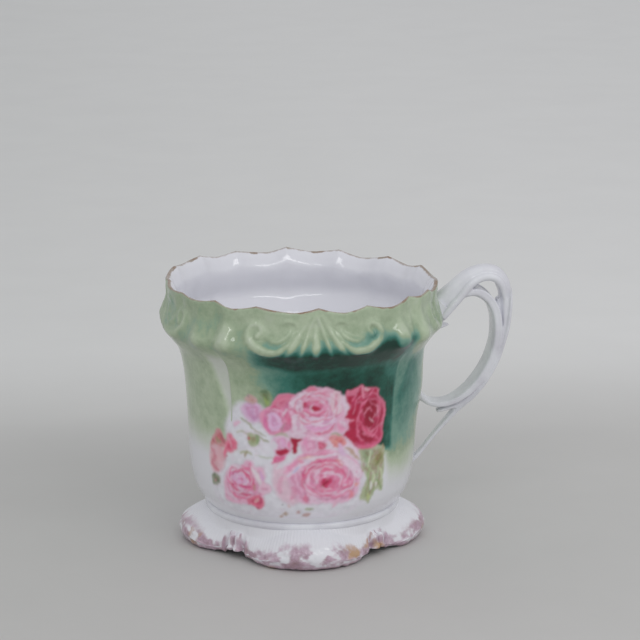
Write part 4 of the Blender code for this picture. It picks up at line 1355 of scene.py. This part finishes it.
def area_light(name, direction, distance, size, watts, colour=(1, 1, 1)):
    """An area light this far from the mug, in millimetres, facing it. direction is azimuth and elevation."""
    azimuth, elevation = (math.radians(v) for v in direction)
    level = math.cos(elevation)
    back = Vector((math.sin(azimuth) * level, -math.cos(azimuth) * level, math.sin(elevation)))
    data = bpy.data.lights.new(name, "AREA")
    data.shape = "RECTANGLE"
    data.size, data.size_y = (side * MM for side in size)
    data.energy = watts
    data.color = colour
    light = in_scene(name, data)
    light.location = Vector((AXIS_X, AXIS_Y, 50)) * MM + back * distance * MM
    light.rotation_euler = (-back).to_track_quat("-Z", "Y").to_euler()


def make_lights():
    """A pale even studio, a broad soft key light, and a long strip that draws the thin highlights."""
    world = bpy.data.worlds.new("studio")
    world.use_nodes = True
    background = world.node_tree.nodes["Background"]
    background.inputs["Color"].default_value = (0.97, 0.98, 1.0, 1)
    background.inputs["Strength"].default_value = 0.57
    bpy.context.scene.world = world
    area_light("key", (42, 42), 2600, (2600, 2600), 5, (1, 0.995, 0.985))
    area_light("strip", (6, 41), 1250, (1800, 90), 3.4)
    bpy.context.scene.view_settings.view_transform = "Standard"


def make_stage():
    """A wide pale table top, lighter behind the mug than in front of it, with painted shade a little darker
    at its left.
    """
    half, level = 6.0, -0.00005
    points = np.array([(x, y, level) for y in (-half, half) for x in (-half, half)])
    stage = mesh_object("stage", points, [(0, 1, 3, 2)])
    surface = Surface("stage_paper")
    split = surface.add("SeparateXYZ")
    surface.feed(split, {"Vector": surface.position()})
    behind = surface.mapped(split.outputs["Y"], 0.08, 0.27)
    rightward = surface.mapped(split.outputs["X"], -0.22, 0.2)
    fibre = surface.ramp(surface.noise(22, 6.0, 0.6), (0.3, (0.975, 0.975, 0.975)), (0.7, (1.0, 1.0, 1.0)))
    tone = surface.mixed(behind, (0.65, 0.642, 0.63), (0.87, 0.87, 0.863))
    # Painted shade: the table is darker towards its left, where the light from the right is weaker.
    left_painted_shade = surface.mixed(rightward, (0.9, 0.905, 0.9), (1.0, 1.0, 1.0))
    tone = surface.mixed(1.0, surface.mixed(1.0, tone, left_painted_shade, "MULTIPLY"), fibre, "MULTIPLY")
    surface.feed(surface.shader, {"Base Color": tone, "Roughness": 0.85})
    stage.data.materials.append(surface.material)


# ---------------------------------------------------------------- assembly

def add_piece(thing, material, slot, *nodes):
    """Gives a mesh its material, rides it on the one body, and hides the CAD nodes it replaces. slot is not
    used.
    """
    thing.data.materials.append(material)
    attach(thing, "root")
    if nodes:
        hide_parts(*nodes)


def main():
    """Builds every piece, then the camera, the lights and the stage."""
    body_finish = body_glaze()
    add_piece(build_body(), body_finish, "body_glaze", "mug_body")
    add_piece(build_print(), body_finish, "body_glaze")
    add_piece(build_foot(), foot_glaze(), "foot_glaze", "foot")
    add_piece(build_junction(), plain_glaze("junction_glaze"), "slip", "foot_joint")
    white = plain_glaze("handle_glaze")
    add_piece(build_handle(), white, "handle_glaze", "handle")
    pads = (("upper", STRAP_KEYS, True), ("loop", FLARE_KEYS, None), ("tail", STRAP_KEYS, False))
    for name, keys, at_start in pads:
        add_piece(build_pad(name + "_pad", keys, at_start), white, "slip", name + "_joint")
    make_camera()
    make_lights()
    make_stage()


main()
